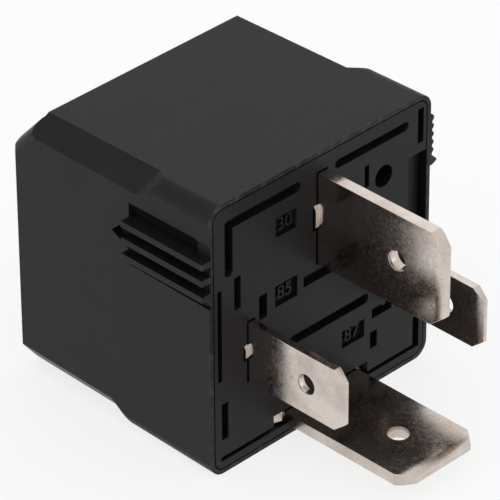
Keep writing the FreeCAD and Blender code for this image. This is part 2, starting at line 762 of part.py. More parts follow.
def make_terminal_30():
    """Upright blade; inside, its neck turns square to lie on the yoke's foot."""
    body = new_body("terminal_30")
    low = terminal_30_z - broad_width / 2
    high = terminal_30_z + broad_width / 2
    foot_back = yoke_foot_y - small_clearance
    foot_front = foot_back - broad_thickness
    outline = sketch_along(body, "blade_outline", 0)
    polygon(outline, blade_end(low, high, broad_length, plain(1.5)) + [
        (seat_depth, low), (seat_depth, foot_low), (foot_back, foot_low),
        (foot_back, foot_high), (seat_depth, foot_high), (seat_depth, high)])
    pad(body, "blade", outline, broad_thickness, both=True)
    foot = sketch_across(body, "foot_outline", foot_front)
    rectangle(foot, (-broad_thickness / 2, foot_low), (foot_reach, foot_high))
    bent = pad_inward(body, "foot", foot, broad_thickness)
    fillet(body, "outer_bend", bent, plain(1.4),
           lambda edge: is_line_at(edge, "z", {"x": -broad_thickness / 2, "y": foot_back}))
    inner = fillet(body, "inner_bend", body.Tip, plain(0.25),
                   lambda edge: is_line_at(edge, "z", {"x": broad_thickness / 2, "y": foot_front}))
    tip_bevels(body, True, plain(0), broad_length, broad_thickness)
    hole = sketch_along(body, "detent", 0)
    circle(hole, (-broad_length + broad_hole_back, terminal_30_z), detent_hole / 2)
    pocket(body, "detent_hole", hole, broad_thickness + 2, both=True)
    rivet = sketch_across(body, "rivet_place", 0)
    circle(rivet, (foot_pin_x, foot_pin_z), shank_radius + small_clearance)
    pocket(body, "rivet_hole", rivet, foot_back + 1)
    boss = sketch_along(body, "boss_outline", -broad_thickness / 2 + 0.05)
    obround(boss, (boss_y, terminal_30_z - 0.4), (boss_y, terminal_30_z + 0.9), plain(0.6))
    pad(body, "pressed_boss", boss, boss_height + 0.05, reverse=True)
    return body


def make_coil_terminal(label, side):
    """Small blade with a post behind the base plate for the coil's wire."""
    body = new_body(label)
    middle = coil_terminal_x * side
    low = coil_terminal_z - small_width / 2
    high = coil_terminal_z + small_width / 2
    post_low = coil_terminal_z - post_width / 2
    post_high = coil_terminal_z + post_width / 2
    outline = sketch_along(body, "blade_outline", middle)
    polygon(outline, blade_end(low, high, small_length, plain(1.2)) + [
        (seat_depth, low), (seat_depth, post_low), (post_end, post_low), (post_end, post_high),
        (seat_depth, post_high), (seat_depth, high)])
    pad(body, "blade", outline, small_thickness, both=True)
    tip_bevels(body, True, middle, small_length, small_thickness)
    hole = sketch_along(body, "detent", middle)
    circle(hole, (-small_length + small_hole_back, coil_terminal_z), detent_hole / 2)
    pocket(body, "detent_hole", hole, small_thickness + 2, both=True)
    boss = sketch_along(body, "boss_outline", middle - small_thickness / 2 + 0.05)
    obround(boss, (boss_y, coil_terminal_z - 0.2), (boss_y, coil_terminal_z + 0.3), plain(0.5))
    pad(body, "pressed_boss", boss, boss_height + 0.05, reverse=True)
    return body


def make_terminal_87():
    """Level blade; inside, its arm runs up the case and turns in to hold the fixed contact."""
    body = new_body("terminal_87")
    half = broad_width / 2
    shoulder = half + shoulder_reach
    seat_back = pole_face_y - 0.4
    under = terminal_87_z - broad_thickness / 2
    outline = sketch_level(body, "blade_outline", terminal_87_z)
    end = [(x, y) for y, x in blade_end(-half, half, broad_length, plain(1.5))]
    polygon(outline, end + [(-half, plain(0.3)), (-shoulder, plain(0.6)), (-shoulder, seat_depth),
                            (-arm_half, seat_depth), (-arm_half, seat_back), (arm_half, seat_back),
                            (arm_half, seat_depth), (shoulder, seat_depth), (shoulder, plain(0.6)),
                            (half, plain(0.3))])
    pad(body, "blade", outline, broad_thickness, both=True)
    shelf = sketch_across(body, "shelf_outline", seat_back - broad_thickness)
    rectangle(shelf, (-arm_half, under), (arm_half, shelf_top))
    bent = pad_inward(body, "shelf", shelf, broad_thickness)
    fillet(body, "outer_bend", bent, plain(1.5), lambda edge: is_line_at(edge, "x", {"y": seat_back, "z": under}))
    tip_bevels(body, False, terminal_87_z, broad_length, broad_thickness)
    hole = sketch_level(body, "detent", terminal_87_z)
    circle(hole, (plain(0), -broad_length + broad_hole_back), detent_hole / 2)
    pocket(body, "detent_hole", hole, broad_thickness + 2, both=True)
    rivet = sketch_across(body, "contact_place", seat_back - broad_thickness - 1)
    circle(rivet, (plain(0), contact_z), shank_radius + small_clearance)
    pocket(body, "contact_hole", rivet, broad_thickness + 2)
    return body


def make_yoke():
    """Bent iron strip: a foot that holds the core and a leg whose end carries the armature."""
    body = new_body("yoke")
    back = yoke_foot_y + yoke_thickness
    top = yoke_leg_z + yoke_thickness
    outline = sketch_along(body, "bend_outline", 0)
    low = coil_z - 6.3
    polygon(outline, [(yoke_foot_y, low), (back, low), (back, yoke_leg_z), (yoke_end_y, yoke_leg_z),
                      (yoke_end_y, top), (yoke_foot_y, top)])
    strip = pad(body, "strip", outline, yoke_width, both=True)
    fillet(body, "outer_bend", strip, plain(1.8),
           lambda edge: is_line_at(edge, "x", {"y": yoke_foot_y, "z": top}))
    fillet(body, "inner_bend", body.Tip, plain(0.3),
           lambda edge: is_line_at(edge, "x", {"y": back, "z": yoke_leg_z}))
    ears = sketch_level(body, "ear_outline", yoke_leg_z)
    for side in (-1, 1):
        outer = yoke_width / 2 * side
        inner = outer - ear_width * side
        polygon(ears, [(inner, yoke_end_y - 0.1), (outer, yoke_end_y - 0.1), (outer, yoke_end_y + 0.8),
                       (outer - 0.4 * side, yoke_end_y + 1.2), (inner, yoke_end_y + 1.2)])
    pad(body, "ears", ears, yoke_thickness)
    corners = sketch_across(body, "foot_corners", yoke_foot_y - 1)
    for side in (-1, 1):
        edge = yoke_width / 2 * side
        polygon(corners, [(edge - 3 * side, low - 1), (edge + 1 * side, low - 1), (edge + 1 * side, low + 4),
                          (edge - 3 * side, low)])
    pocket(body, "corner_cuts", corners, yoke_thickness + 2)
    bores = sketch_across(body, "foot_bores", yoke_foot_y - 1)
    circle(bores, (plain(0), coil_z), core_neck_radius + small_clearance)
    circle(bores, (foot_pin_x, foot_pin_z), shank_radius + small_clearance)
    pocket(body, "foot_bore_cuts", bores, yoke_thickness + 2)
    holes = sketch_level(body, "leg_bores", top + 1)
    for side in (-1, 1):
        circle(holes, (leaf_pin_spread * side, leaf_pin_y), pin_radius + small_clearance)
    pocket(body, "leg_bore_cuts", holes, yoke_thickness + 2)
    return body


def turned(label, steps, place, turn):
    """A turned piece from its half section, given as radius and height pairs up its own axis."""
    body = new_body(label)
    profile = sketch_level(body, label + "_profile", 0)
    polygon(profile, steps)
    revolve(body, label + "_turned", profile)
    body.Placement = FreeCAD.Placement(FreeCAD.Vector(0, 0, 0), turn)
    for key, value in zip("xyz", place):
        bind(body, "Placement.Base." + key, value)
    return body


no_turn = FreeCAD.Rotation()
on_its_side = FreeCAD.Rotation(FreeCAD.Vector(1, 0, 0), 90)


def make_core():
    foot = yoke_foot_y
    back = yoke_foot_y + yoke_thickness
    under = pole_face_y - pole_thickness
    steps = [(plain(0), foot - 0.6), (core_tail_radius - 0.7, foot - 0.6), (core_tail_radius, foot - 0.3),
             (core_tail_radius, foot), (core_neck_radius, foot), (core_neck_radius, back), (core_radius, back),
             (core_radius, under), (pole_radius, under), (pole_radius, pole_face_y), (plain(0), pole_face_y)]
    return turned("core", steps, (plain(0), plain(0), coil_z), no_turn)


def make_bobbin():
    """Former with two flanges; the lower one has a lug round each winding post."""
    body = new_body("bobbin")
    low = yoke_foot_y + yoke_thickness + small_clearance
    high = pole_face_y - pole_thickness - small_clearance
    flange = bobbin_flange
    lower = sketch_across(body, "lower_flange_outline", low)
    rounded_rectangle(lower, (plain(0), coil_z), bobbin_half, bobbin_half, plain(2.2))
    pad_inward(body, "lower_flange", lower, flange)
    tube = sketch_across(body, "tube_outline", low + flange - 0.1)
    circle(tube, (plain(0), coil_z), core_radius + 0.8)
    pad_inward(body, "tube", tube, high - low - flange + 0.1)
    upper = sketch_across(body, "upper_flange_outline", high - flange)
    rounded_rectangle(upper, (plain(0), coil_z), bobbin_half - 0.3, bobbin_half - 0.3, plain(3.0))
    pad_inward(body, "upper_flange", upper, flange)
    lugs = sketch_across(body, "lug_outline", low)
    for side in (-1, 1):
        rectangle(lugs, ((bobbin_half - 0.5) * side, coil_terminal_z - 2.2),
                  ((coil_terminal_x + 1.5) * side, coil_terminal_z + 2.2))
    pad_inward(body, "lugs", lugs, flange)
    bore = sketch_across(body, "bore_outline", low - 1)
    circle(bore, (plain(0), coil_z), core_radius + small_clearance)
    pocket(body, "bore", bore, high - low + 2)
    posts = sketch_across(body, "post_slots", low - 1)
    for side in (-1, 1):
        middle = coil_terminal_x * side
        reach = small_thickness / 2 + small_clearance
        rectangle(posts, (middle - reach, coil_terminal_z - post_width / 2 - small_clearance),
                  (middle + reach, coil_terminal_z + post_width / 2 + small_clearance))
    pocket(body, "post_slot_cuts", posts, flange + 2)
    return body


def make_winding():
    inner = core_radius + 0.85
    steps = [(inner, winding_low), (winding_radius, winding_low), (winding_radius, winding_high),
             (inner, winding_high)]
    return turned("coil_winding", steps, (plain(0), plain(0), coil_z), no_turn)


def make_tape():
    low = winding_low + tape_margin
    high = winding_high - tape_margin
    inner = winding_radius + 0.03
    outer = winding_radius + 0.15
    steps = [(inner, low), (outer, low), (outer, high), (inner, high)]
    return turned("coil_tape", steps, (plain(0), plain(0), coil_z), no_turn)


def eased_path(points, bends):
    """Straight runs between the points; a corner is eased by two chords of the stated arc, or a mitre for 0."""
    places = [FreeCAD.Vector(*place) for place in points]
    edges = []
    start = places[0]
    for corner, following, bend in zip(places[1:-1], places[2:], bends):
        if bend == 0:
            edges.append(Part.LineSegment(start, corner).toShape())
            start = corner
            continue
        back = (start - corner).normalize()
        onward = (following - corner).normalize()
        half_angle = back.getAngle(onward) / 2
        reach = bend / math.tan(half_angle)
        middle = (back + onward).normalize() * (bend / math.sin(half_angle) - bend)
        enter = corner + back * reach
        leave = corner + onward * reach
        edges.append(Part.LineSegment(start, enter).toShape())
        edges.append(Part.LineSegment(enter, corner + middle).toShape())
        edges.append(Part.LineSegment(corner + middle, leave).toShape())
        start = leave
    edges.append(Part.LineSegment(start, places[-1]).toShape())
    return Part.Wire(edges)


def wire(label, points, bends, radius):
    """A round wire swept along straight runs and eased corners."""
    path = doc.addObject("Part::Feature", label + "_path")
    path.Shape = eased_path(points, bends)
    section = doc.addObject("Part::Circle", label + "_section")
    bind(section, "Radius", radius)
    places = [FreeCAD.Vector(*place) for place in points[:2]]
    turn = FreeCAD.Rotation(FreeCAD.Vector(0, 0, 1), places[1] - places[0])
    section.Placement = FreeCAD.Placement(places[0], turn)
    swept = doc.addObject("Part::Sweep", label)
    swept.Sections = [section]
    swept.Spine = (path, ["Edge" + str(i + 1) for i in range(len(path.Shape.Edges))])
    swept.Solid = True
    swept.Frenet = False
    swept.Transition = "Right corner"
    return swept


def make_lead(label, side):
    """The wire's end leaves the winding on a tangent and is wound round its post."""
    clear = number(wire_diameter) / 2 + 0.03
    half_x = number(small_thickness) / 2 + clear
    half_z = number(post_width) / 2 + clear
    across = number(coil_terminal_x)
    level = number(coil_terminal_z)
    coil = number(winding_radius) + clear
    drop = level + half_z - number(coil_z)
    reach = across - half_x
    lean = math.atan2(drop, reach) + math.acos(coil / math.hypot(reach, drop))
    from_y = number(winding_low) + 0.2
    wound_y = number(post_end) - 1.9
    step = number(wire_diameter) * 1.15 / 4
    corners = [(-half_x, half_z), (-half_x, -half_z), (half_x, -half_z), (half_x, half_z)]
    points = [(coil * math.cos(lean), from_y, number(coil_z) + coil * math.sin(lean))]
    for i in range(9):
        corner = corners[i % 4]
        points.append((across + corner[0], wound_y + step * i, level + corner[1]))
    points = [(x * side, y, z) for x, y, z in points]
    return wire(label, points, [0] * 8, wire_diameter / 2)


def make_armature():
    """Iron flap, narrow at the hinge where it sits between the yoke's ears, tapering to its free end."""
    body = new_body("armature")
    outline = sketch_across(body, "flap_outline", armature_y)
    wide = yoke_width / 2
    hinge = wide - ear_width - 0.5
    tip = plain(4.6)
    neck = armature_hinge_z - 1.0
    taper = armature_end_z + 5.5
    polygon(outline, [(-hinge, armature_hinge_z), (-hinge, neck), (-wide, neck), (-wide, taper),
                      (-tip, armature_end_z + 0.6), (-tip + 0.6, armature_end_z), (tip - 0.6, armature_end_z),
                      (tip, armature_end_z + 0.6), (wide, taper), (wide, neck), (hinge, neck),
                      (hinge, armature_hinge_z)])
    pad_inward(body, "flap", outline, armature_thickness)
    edge = sketch_along(body, "hinge_edge_profile", 0)
    polygon(edge, [(armature_y - 0.01, armature_hinge_z - 0.4), (armature_y - 0.01, armature_hinge_z + 0.01),
                   (armature_y + 0.3, armature_hinge_z + 0.01)])
    pocket(body, "hinge_edge", edge, 12, both=True)
    holes = sketch_across(body, "rivet_places", armature_y - 1)
    for side in (-1, 1):
        circle(holes, (flap_pin_spread * side, flap_pin_z), pin_radius + small_clearance)
    pocket(body, "rivet_holes", holes, armature_thickness + 2)
    return body


def make_contact_spring():
    """One bronze leaf: a leg on the yoke, a quarter bend over the hinge and a blade along the armature."""
    body = new_body("contact_spring")
    leg_low = yoke_leg_z + yoke_thickness
    leg_high = leg_low + leaf_thickness
    blade_low = armature_y + armature_thickness
    blade_high = blade_low + leaf_thickness
    bend_y = blade_low - leaf_bend
    bend_z = leg_low - leaf_bend
    profile = sketch_along(body, "leaf_profile", 0)
    leg_end = leaf_pin_y - 1.9
    lines = [((leg_end, leg_low), (leg_end, leg_high)), ((leg_end, leg_high), (bend_y, leg_high)),
             ((blade_high, bend_z), (blade_high, leaf_end_z)), ((blade_high, leaf_end_z), (blade_low, leaf_end_z)),
             ((blade_low, leaf_end_z), (blade_low, bend_z)), ((bend_y, leg_low), (leg_end, leg_low))]
    for start, end in lines:
        index = profile.addGeometry(Part.LineSegment(point(start), point(end)), False)
        hold_point(profile, index, 1, start)
        hold_point(profile, index, 2, end)
    for radius, first, last in ((leaf_bend + leaf_thickness, 1, 2), (leaf_bend, 5, 4)):
        index = arc(profile, (bend_y, bend_z), radius, 0, 90)
        last_place = 1 if last == 2 else 2
        first_place = 2 if first == 1 else 1
        profile.addConstraint(Sketcher.Constraint("Coincident", index, 1, last, last_place))
        profile.addConstraint(Sketcher.Constraint("Coincident", index, 2, first, first_place))
        hold(profile, "DistanceX", index, 3, bend_y)
    pad(body, "leaf", profile, leaf_width, both=True)
    trim = sketch_across(body, "free_end_trim", armature_y)
    half = leaf_width / 2
    for side in (-1, 1):
        polygon(trim, [((half + 1) * side, contact_z + 4.8), (half * side, contact_z + 4.8),
                       ((half - 1.1) * side, contact_z + 3.2), ((half - 1.1) * side, leaf_end_z + 1.2),
                       ((half - 2.3) * side, leaf_end_z - 0.1), ((half - 2.3) * side, leaf_end_z - 1),
                       ((half + 1) * side, leaf_end_z - 1)])
    pocket(body, "free_end", trim, 4)
    window = sketch_across(body, "bend_window", leaf_pin_y + 3)
    rectangle(window, (plain(-2.0), armature_hinge_z - 2.8), (plain(2.0), leg_high + 1))
    pocket(body, "bend_window_cut", window, 6)
    holes = sketch_across(body, "leaf_holes", armature_y)
    for side in (-1, 1):
        circle(holes, (flap_pin_spread * side, flap_pin_z), pin_radius + small_clearance)
    circle(holes, (plain(0), contact_z), shank_radius + small_clearance)
    pocket(body, "leaf_hole_cuts", holes, 4)
    leg_holes = sketch_level(body, "leg_holes", leg_high + 1)
    for side in (-1, 1):
        circle(leg_holes, (leaf_pin_spread * side, leaf_pin_y), pin_radius + small_clearance)
    pocket(body, "leg_hole_cuts", leg_holes, 2)
    return body


def make_contacts():
    """Contact rivets: a domed face, a shank through the strip and a closed tail."""
    face = pole_face_y - 0.4
    strip = broad_thickness
    top = armature_y + armature_thickness - 0.7 - contact_gap
    tail = shank_radius + 0.5
    steps = [(plain(0), face - strip - 0.35), (tail, face - strip - 0.35), (tail, face - strip),
             (shank_radius, face - strip), (shank_radius, face), (contact_radius, face),
             (contact_radius, top - 0.25), (contact_radius * 0.7, top - 0.06), (plain(0), top)]
    fixed = turned("fixed_contact", steps, (plain(0), plain(0), contact_z), no_turn)
    leaf = armature_y + armature_thickness
    back = leaf + leaf_thickness
    radius = contact_radius - 0.2
    steps = [(plain(0), leaf - 0.7), (radius * 0.7, leaf - 0.64), (radius, leaf - 0.45), (radius, leaf),
             (shank_radius, leaf), (shank_radius, back), (tail, back),
             (tail, back + 0.35), (plain(0), back + 0.35)]
    moving = turned("moving_contact", steps, (plain(0), plain(0), contact_z), no_turn)
    return [fixed, moving]


def rivet_steps(grip, head):
    """A rivet whose far end is flush and whose head stands on the strip."""
    return [(plain(0), plain(0.02)), (pin_radius, plain(0.02)), (pin_radius, grip), (pin_radius + 0.55, grip),
            (pin_radius + 0.2, grip + head), (plain(0), grip + head)]


def rivet_pair(label, steps, places, turn):
    """Two equal rivets that hold one joint."""
    pair = [turned(label + "_" + tag, steps, place, turn) for tag, place in zip(("left", "right"), places)]
    compound = doc.addObject("Part::Compound", label)
    compound.Links = pair
    return compound


def make_rivet_pairs():
    flap_places = [(flap_pin_spread * side, armature_y, flap_pin_z) for side in (-1, 1)]
    leg_places = [(leaf_pin_spread * side, leaf_pin_y, yoke_leg_z) for side in (-1, 1)]
    flap_steps = rivet_steps(armature_thickness + leaf_thickness, 0.45)
    leg_steps = rivet_steps(yoke_thickness + leaf_thickness, 0.45)
    return [rivet_pair("armature_rivets", flap_steps, flap_places, no_turn),
            rivet_pair("spring_rivets", leg_steps, leg_places, on_its_side)]


def make_terminal_rivet():
    front = yoke_foot_y - small_clearance - broad_thickness
    back = yoke_foot_y + yoke_thickness - 0.02
    head = shank_radius + 0.6
    steps = [(plain(0), front - 0.5), (head - 0.4, front - 0.5), (head, front - 0.2), (head, front),
             (shank_radius, front), (shank_radius, back), (plain(0), back)]
    return turned("terminal_rivet", steps, (foot_pin_x, plain(0), foot_pin_z), no_turn)


def make_rest_stop():
    """Flat stamping whose arm crosses behind the leaf's free end."""
    body = new_body("rest_stop")
    arm = armature_y + armature_thickness + leaf_thickness + 0.35 + 0.15
    outline = sketch_level(body, "stamping", stop_z)
    root = plug_depth - stop_root
    outer = stop_x + stop_width
    polygon(outline, [(stop_x, root), (outer, root), (outer, arm + 0.5), (outer - 0.5, arm + 1.0),
                      (plain(-0.7), arm + 1.0), (plain(-1.2), arm + 0.6), (plain(-1.2), arm), (stop_x - 0.6, arm),
                      (stop_x, arm - 0.6)])
    pad(body, "strip", outline, stop_thickness)
    return body


def make_braid():
    """Flexible copper braid, from the leaf's free end round the coil to the foot of terminal 30."""
    back = number(armature_y + armature_thickness + leaf_thickness + braid_radius) + 0.03
    foot = number(yoke_foot_y - small_clearance + braid_radius) + 0.02
    level = number(contact_z) + 2.5
    outside = number(cover_width) / 2 - 3.6
    high = number(foot_pin_z) - 0.4
    points = [(-2.2, back, level), (4.4, back, level), (outside, back - 2.4, level + 3.3), (outside - 0.1, foot, high),
              (outside - 2.4, foot, high + 0.4)]
    return wire("shunt_braid", points, [3.0, 4.0, 1.1], braid_radius)


def build():
    parts = [make_cover(), make_base_plate(), make_terminal_30(), make_terminal_87()]
    parts.append(make_coil_terminal("terminal_85", -1))
    parts.append(make_coil_terminal("terminal_86", 1))
    parts.extend([make_yoke(), make_core(), make_bobbin(), make_winding(), make_tape()])
    parts.append(make_lead("coil_lead_85", -1))
    parts.append(make_lead("coil_lead_86", 1))
    parts.extend([make_armature(), make_contact_spring()])
    parts.extend(make_contacts())
    parts.extend(make_rivet_pairs())
    parts.extend([make_terminal_rivet(), make_rest_stop(), make_braid()])
    doc.recompute()
    return parts


def check(item):
    if "Invalid" in item.State or "Error" in item.State:
        raise RuntimeError(item.Name + " did not compute")


def write(parts):
    for item in doc.Objects:
        check(item)
    os.makedirs("parts", exist_ok=True)
    for part in parts:
        shape = part.Shape
        if shape.isNull() or not shape.isValid() or shape.Volume <= 0:
            raise RuntimeError(part.Label + " has no valid solid")
        shape.exportStep("parts/" + part.Label + ".step")
        box = shape.optimalBoundingBox()
        print(part.Label, len(shape.Solids), round(shape.Volume, 2), [round(v, 2) for v in (
            box.XMin, box.YMin, box.ZMin, box.XMax, box.YMax, box.ZMax)])


write(build())
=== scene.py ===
# %% [markdown]
# # A plug-in relay for a car, 28 mm square
#
# The relay lies on one long side of its black cover. Four tinned blades stand out of a moulded base
# plate, and the coil, the hinged armature and the contacts are closed up inside. The construction comes
# as a fixed frame with every piece at its real size, so this lesson only gives each piece its surface:
# rounded moulding edges, wound wire, braided copper, and the finish of every material.

# %% Load the frame
import math

import bmesh
import bpy
from mathutils import Matrix, Vector


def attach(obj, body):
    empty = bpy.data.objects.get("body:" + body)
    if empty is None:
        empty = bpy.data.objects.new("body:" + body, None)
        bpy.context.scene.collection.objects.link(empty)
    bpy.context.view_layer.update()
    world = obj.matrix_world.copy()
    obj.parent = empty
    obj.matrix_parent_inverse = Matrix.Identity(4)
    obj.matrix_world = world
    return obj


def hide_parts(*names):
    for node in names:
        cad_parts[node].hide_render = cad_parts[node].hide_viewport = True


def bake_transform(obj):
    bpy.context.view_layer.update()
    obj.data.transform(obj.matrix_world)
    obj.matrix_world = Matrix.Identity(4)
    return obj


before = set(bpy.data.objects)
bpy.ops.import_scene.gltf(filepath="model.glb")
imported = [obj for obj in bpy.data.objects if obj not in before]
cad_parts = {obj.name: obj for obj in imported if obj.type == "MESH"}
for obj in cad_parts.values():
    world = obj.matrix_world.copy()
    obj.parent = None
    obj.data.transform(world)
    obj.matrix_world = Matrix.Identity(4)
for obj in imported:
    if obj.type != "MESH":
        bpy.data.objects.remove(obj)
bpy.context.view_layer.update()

MM = 0.001
print("pieces in the frame:", len(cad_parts))

# %% [markdown]
# ## The camera
#
# The photograph was taken from the left, a third of the way up, with a long lens: parallel edges of
# the cover stay nearly parallel. The camera is placed by its direction and distance rather than by eye,
# because then the same numbers also say where each point of the relay falls in the picture.

# %% Camera
CAMERA_AZIMUTH = math.radians(-45.02)
CAMERA_ELEVATION = math.radians(33.40)
CAMERA_ROLL = math.radians(-0.30)
CAMERA_DISTANCE = 390.99 * MM
CAMERA_ASIDE = -6.371 * MM
CAMERA_RAISED = 3.119 * MM
FOCAL_LENGTH = 316.4  # millimetres, as on a lens
SENSOR_WIDTH = 36  # millimetres, a full-frame sensor
NEAREST_SEEN = 10 * MM


def camera_axes():
    """The camera's own right, up and backward directions."""
    back = Vector((math.sin(CAMERA_AZIMUTH) * math.cos(CAMERA_ELEVATION),
                   -math.cos(CAMERA_AZIMUTH) * math.cos(CAMERA_ELEVATION), math.sin(CAMERA_ELEVATION)))
    level = Vector((math.cos(CAMERA_AZIMUTH), math.sin(CAMERA_AZIMUTH), 0))
    upright = back.cross(level)
    right = level * math.cos(CAMERA_ROLL) + upright * math.sin(CAMERA_ROLL)
    up = upright * math.cos(CAMERA_ROLL) - level * math.sin(CAMERA_ROLL)
    return right, up, back


right, up, back = camera_axes()
camera_data = bpy.data.cameras.new("photo_camera")
camera_data.sensor_width = SENSOR_WIDTH
camera_data.lens = FOCAL_LENGTH
camera_data.clip_start = NEAREST_SEEN
camera = bpy.data.objects.new("photo_camera", camera_data)
turn = Matrix((right, up, back)).transposed().to_4x4()
camera_place = back * CAMERA_DISTANCE + right * CAMERA_ASIDE + up * CAMERA_RAISED
camera.matrix_world = Matrix.Translation(camera_place) @ turn
bpy.context.scene.collection.objects.link(camera)
bpy.context.scene.camera = camera
print("camera", [round(v, 4) for v in camera.location])

# %% [markdown]
# ## Node helpers
#
# Every material below is a small net of nodes. One function adds a node, sets its own options, and fills
# each input with a value or joins it to what feeds it. Colours are written the way a paint chart gives
# them, as sRGB hex values, and turned to the linear values that light works in.

# %% Helpers for nodes
def linear(hex_colour):
    """An sRGB hex colour as linear red, green, blue and alpha."""
    parts = [int(hex_colour[i:i + 2], 16) / 255 for i in (1, 3, 5)]
    return tuple(p / 12.92 if p <= 0.04045 else ((p + 0.055) / 1.055) ** 2.4 for p in parts) + (1.0,)


def add_node(tree, kind, inputs=None, **options):
    """Adds one node with its own options. An input takes a value, a socket, or a node's first output."""
    node = tree.nodes.new(kind)
    for name, value in options.items():
        setattr(node, name, value)
    for socket, value in (inputs or {}).items():
        if isinstance(value, bpy.types.Node):
            value = value.outputs[0]
        if isinstance(value, bpy.types.NodeSocket):
            tree.links.new(value, node.inputs[socket])
        else:
            node.inputs[socket].default_value = value
    return node


print("linear #808080:", round(linear("#808080")[0], 4))

# %% [markdown]
# ## Light and floor
#
# A product shot on white: soft boxes behind, to the left and in front, a pale surround, and a white floor
# that keeps a faint shadow. The camera sees the floor and the surround as white, and shiny metal nearly
# so. The lamps stay modest, because a black moulding shows its true depth only in plain light.

# %% Floor
FLOOR_Z = -14.22 * MM
FLOOR_REACH = 1.6
SHADOW_SHARE = 0.22  # how much of the floor's real shading the camera sees


def white_paper():
    """Matt paper that the camera and mirrors see as white, with a share of the shadow left in."""
    material = bpy.data.materials.new("matt_white_paper")
    material.use_nodes = True
    tree = material.node_tree
    tree.nodes.clear()
    paper = add_node(tree, "ShaderNodeBsdfDiffuse", {"Color": linear("#f4f4f4")})
    glow = add_node(tree, "ShaderNodeEmission", {"Color": linear("#ffffff"), "Strength": 1.0})
    rays = add_node(tree, "ShaderNodeLightPath").outputs
    seen = rays["Is Camera Ray"]
    for other in ("Is Glossy Ray", "Is Transmission Ray"):
        seen = add_node(tree, "ShaderNodeMath", {0: seen, 1: rays[other]}, operation="MAXIMUM").outputs[0]
    share = add_node(tree, "ShaderNodeMath", {0: seen, 1: 1 - SHADOW_SHARE}, operation="MULTIPLY")
    both = add_node(tree, "ShaderNodeMixShader", {0: share, 1: paper, 2: glow})
    add_node(tree, "ShaderNodeOutputMaterial", {"Surface": both})
    return material


floor_mesh = bpy.data.meshes.new("studio_floor")
floor_corners = [(x * FLOOR_REACH, y * FLOOR_REACH, FLOOR_Z) for x, y in ((-1, -1), (1, -1), (1, 1), (-1, 1))]
floor_mesh.from_pydata(floor_corners, [], [(0, 1, 2, 3)])
floor_mesh.materials.append(white_paper())
floor = bpy.data.objects.new("studio_floor", floor_mesh)
bpy.context.scene.collection.objects.link(floor)
print("floor at", round(FLOOR_Z / MM, 2), "mm")

# %% Surround and lamps
FILL = 0.96  # the surround as it lights the relay
MIRRORED = 0.9  # the surround as shiny metal shows it


def make_surround():
    """An even surround: white to the camera, a little less in mirrors and as light."""
    world = bpy.data.worlds.new("pale_surround")
    world.use_nodes = True
    tree = world.node_tree
    tree.nodes.clear()
    rays = add_node(tree, "ShaderNodeLightPath").outputs
    shiny = add_node(tree, "ShaderNodeMapRange",
                     {"Value": rays["Is Glossy Ray"], "To Min": FILL, "To Max": MIRRORED})
    level = add_node(tree, "ShaderNodeMix", {0: rays["Is Camera Ray"], 2: shiny, 3: 1.0}, data_type="FLOAT")
    light = add_node(tree, "ShaderNodeBackground", {"Color": linear("#ffffff"), "Strength": level})
    add_node(tree, "ShaderNodeOutputWorld", {"Surface": light})
    bpy.context.scene.world = world


def soft_box(name, place, width, height, power):
    """A soft lamp that faces the relay: place and size in metres, power in watts."""
    lamp = bpy.data.lights.new(name, "AREA")
    lamp.shape = "RECTANGLE"
    lamp.size = width
    lamp.size_y = height
    lamp.energy = power
    lamp_object = bpy.data.objects.new(name, lamp)
    lamp_object.location = place
    lamp_object.rotation_euler = Vector(place).to_track_quat("Z", "Y").to_euler()
    bpy.context.scene.collection.objects.link(lamp_object)


make_surround()
soft_box("box_behind", (0.36, 0.36, 0.34), 0.45, 0.3, 0.12)
soft_box("box_left", (-0.5, -0.1, 0.1), 0.42, 0.42, 0.22)
soft_box("box_front", (0.25, -0.5, 0.12), 0.38, 0.38, 0.22)
bpy.context.scene.view_settings.view_transform = "Standard"
print("lamps:", len(bpy.data.lights))

# %% [markdown]
# ## How a surface varies
#
# No real surface has one flat colour. Noise in real millimetres gives the cloudy drift of a moulding or a
# plating, and the same noise, finer, gives the gloss its specks. It reads the place on the piece itself, so
# it stays with the piece when that moves. Noise keeps mostly between 0.3 and 0.7, which is stretched here.

# %% Helpers for materials
NOISE_SPAN = {"From Min": 0.3, "From Max": 0.7}


def new_material(name, **surface):
    """A material with one Principled shader; its plain values are set on the shader's own sockets."""
    material = bpy.data.materials.new(name)
    material.use_nodes = True
    tree = material.node_tree
    shader = tree.nodes["Principled BSDF"]
    for socket, value in surface.items():
        shader.inputs[socket.replace("_", " ")].default_value = value
    return material, tree, shader


def join_patterns(tree, shader, **patterns):
    """Joins each pattern to the shader's socket of that name; a node gives its first output."""
    for socket, source in patterns.items():
        if isinstance(source, bpy.types.Node):
            source = source.outputs[0]
        tree.links.new(source, shader.inputs[socket.replace("_", " ")])


def grain(tree, size_mm, detail, stretch=(1, 1, 1)):
    """Noise on the piece itself whose lumps are about size_mm across."""
    place = add_node(tree, "ShaderNodeTexCoord").outputs["Object"]
    mapping = add_node(tree, "ShaderNodeMapping", {"Vector": place, "Scale": stretch})
    return add_node(tree, "ShaderNodeTexNoise",
                    {"Vector": mapping, "Scale": 1 / (size_mm * MM), "Detail": detail}).outputs["Fac"]


def drifting_colour(tree, pattern, first, second, span=NOISE_SPAN):
    """A colour that drifts with a pattern from the first hex colour to the second."""
    share = add_node(tree, "ShaderNodeMapRange", {"Value": pattern, **span})
    mix = add_node(tree, "ShaderNodeMix", {0: share, 6: linear(first), 7: linear(second)}, data_type="RGBA")
    return mix.outputs[2]


print("noise is stretched from", NOISE_SPAN["From Min"], "to", NOISE_SPAN["From Max"])

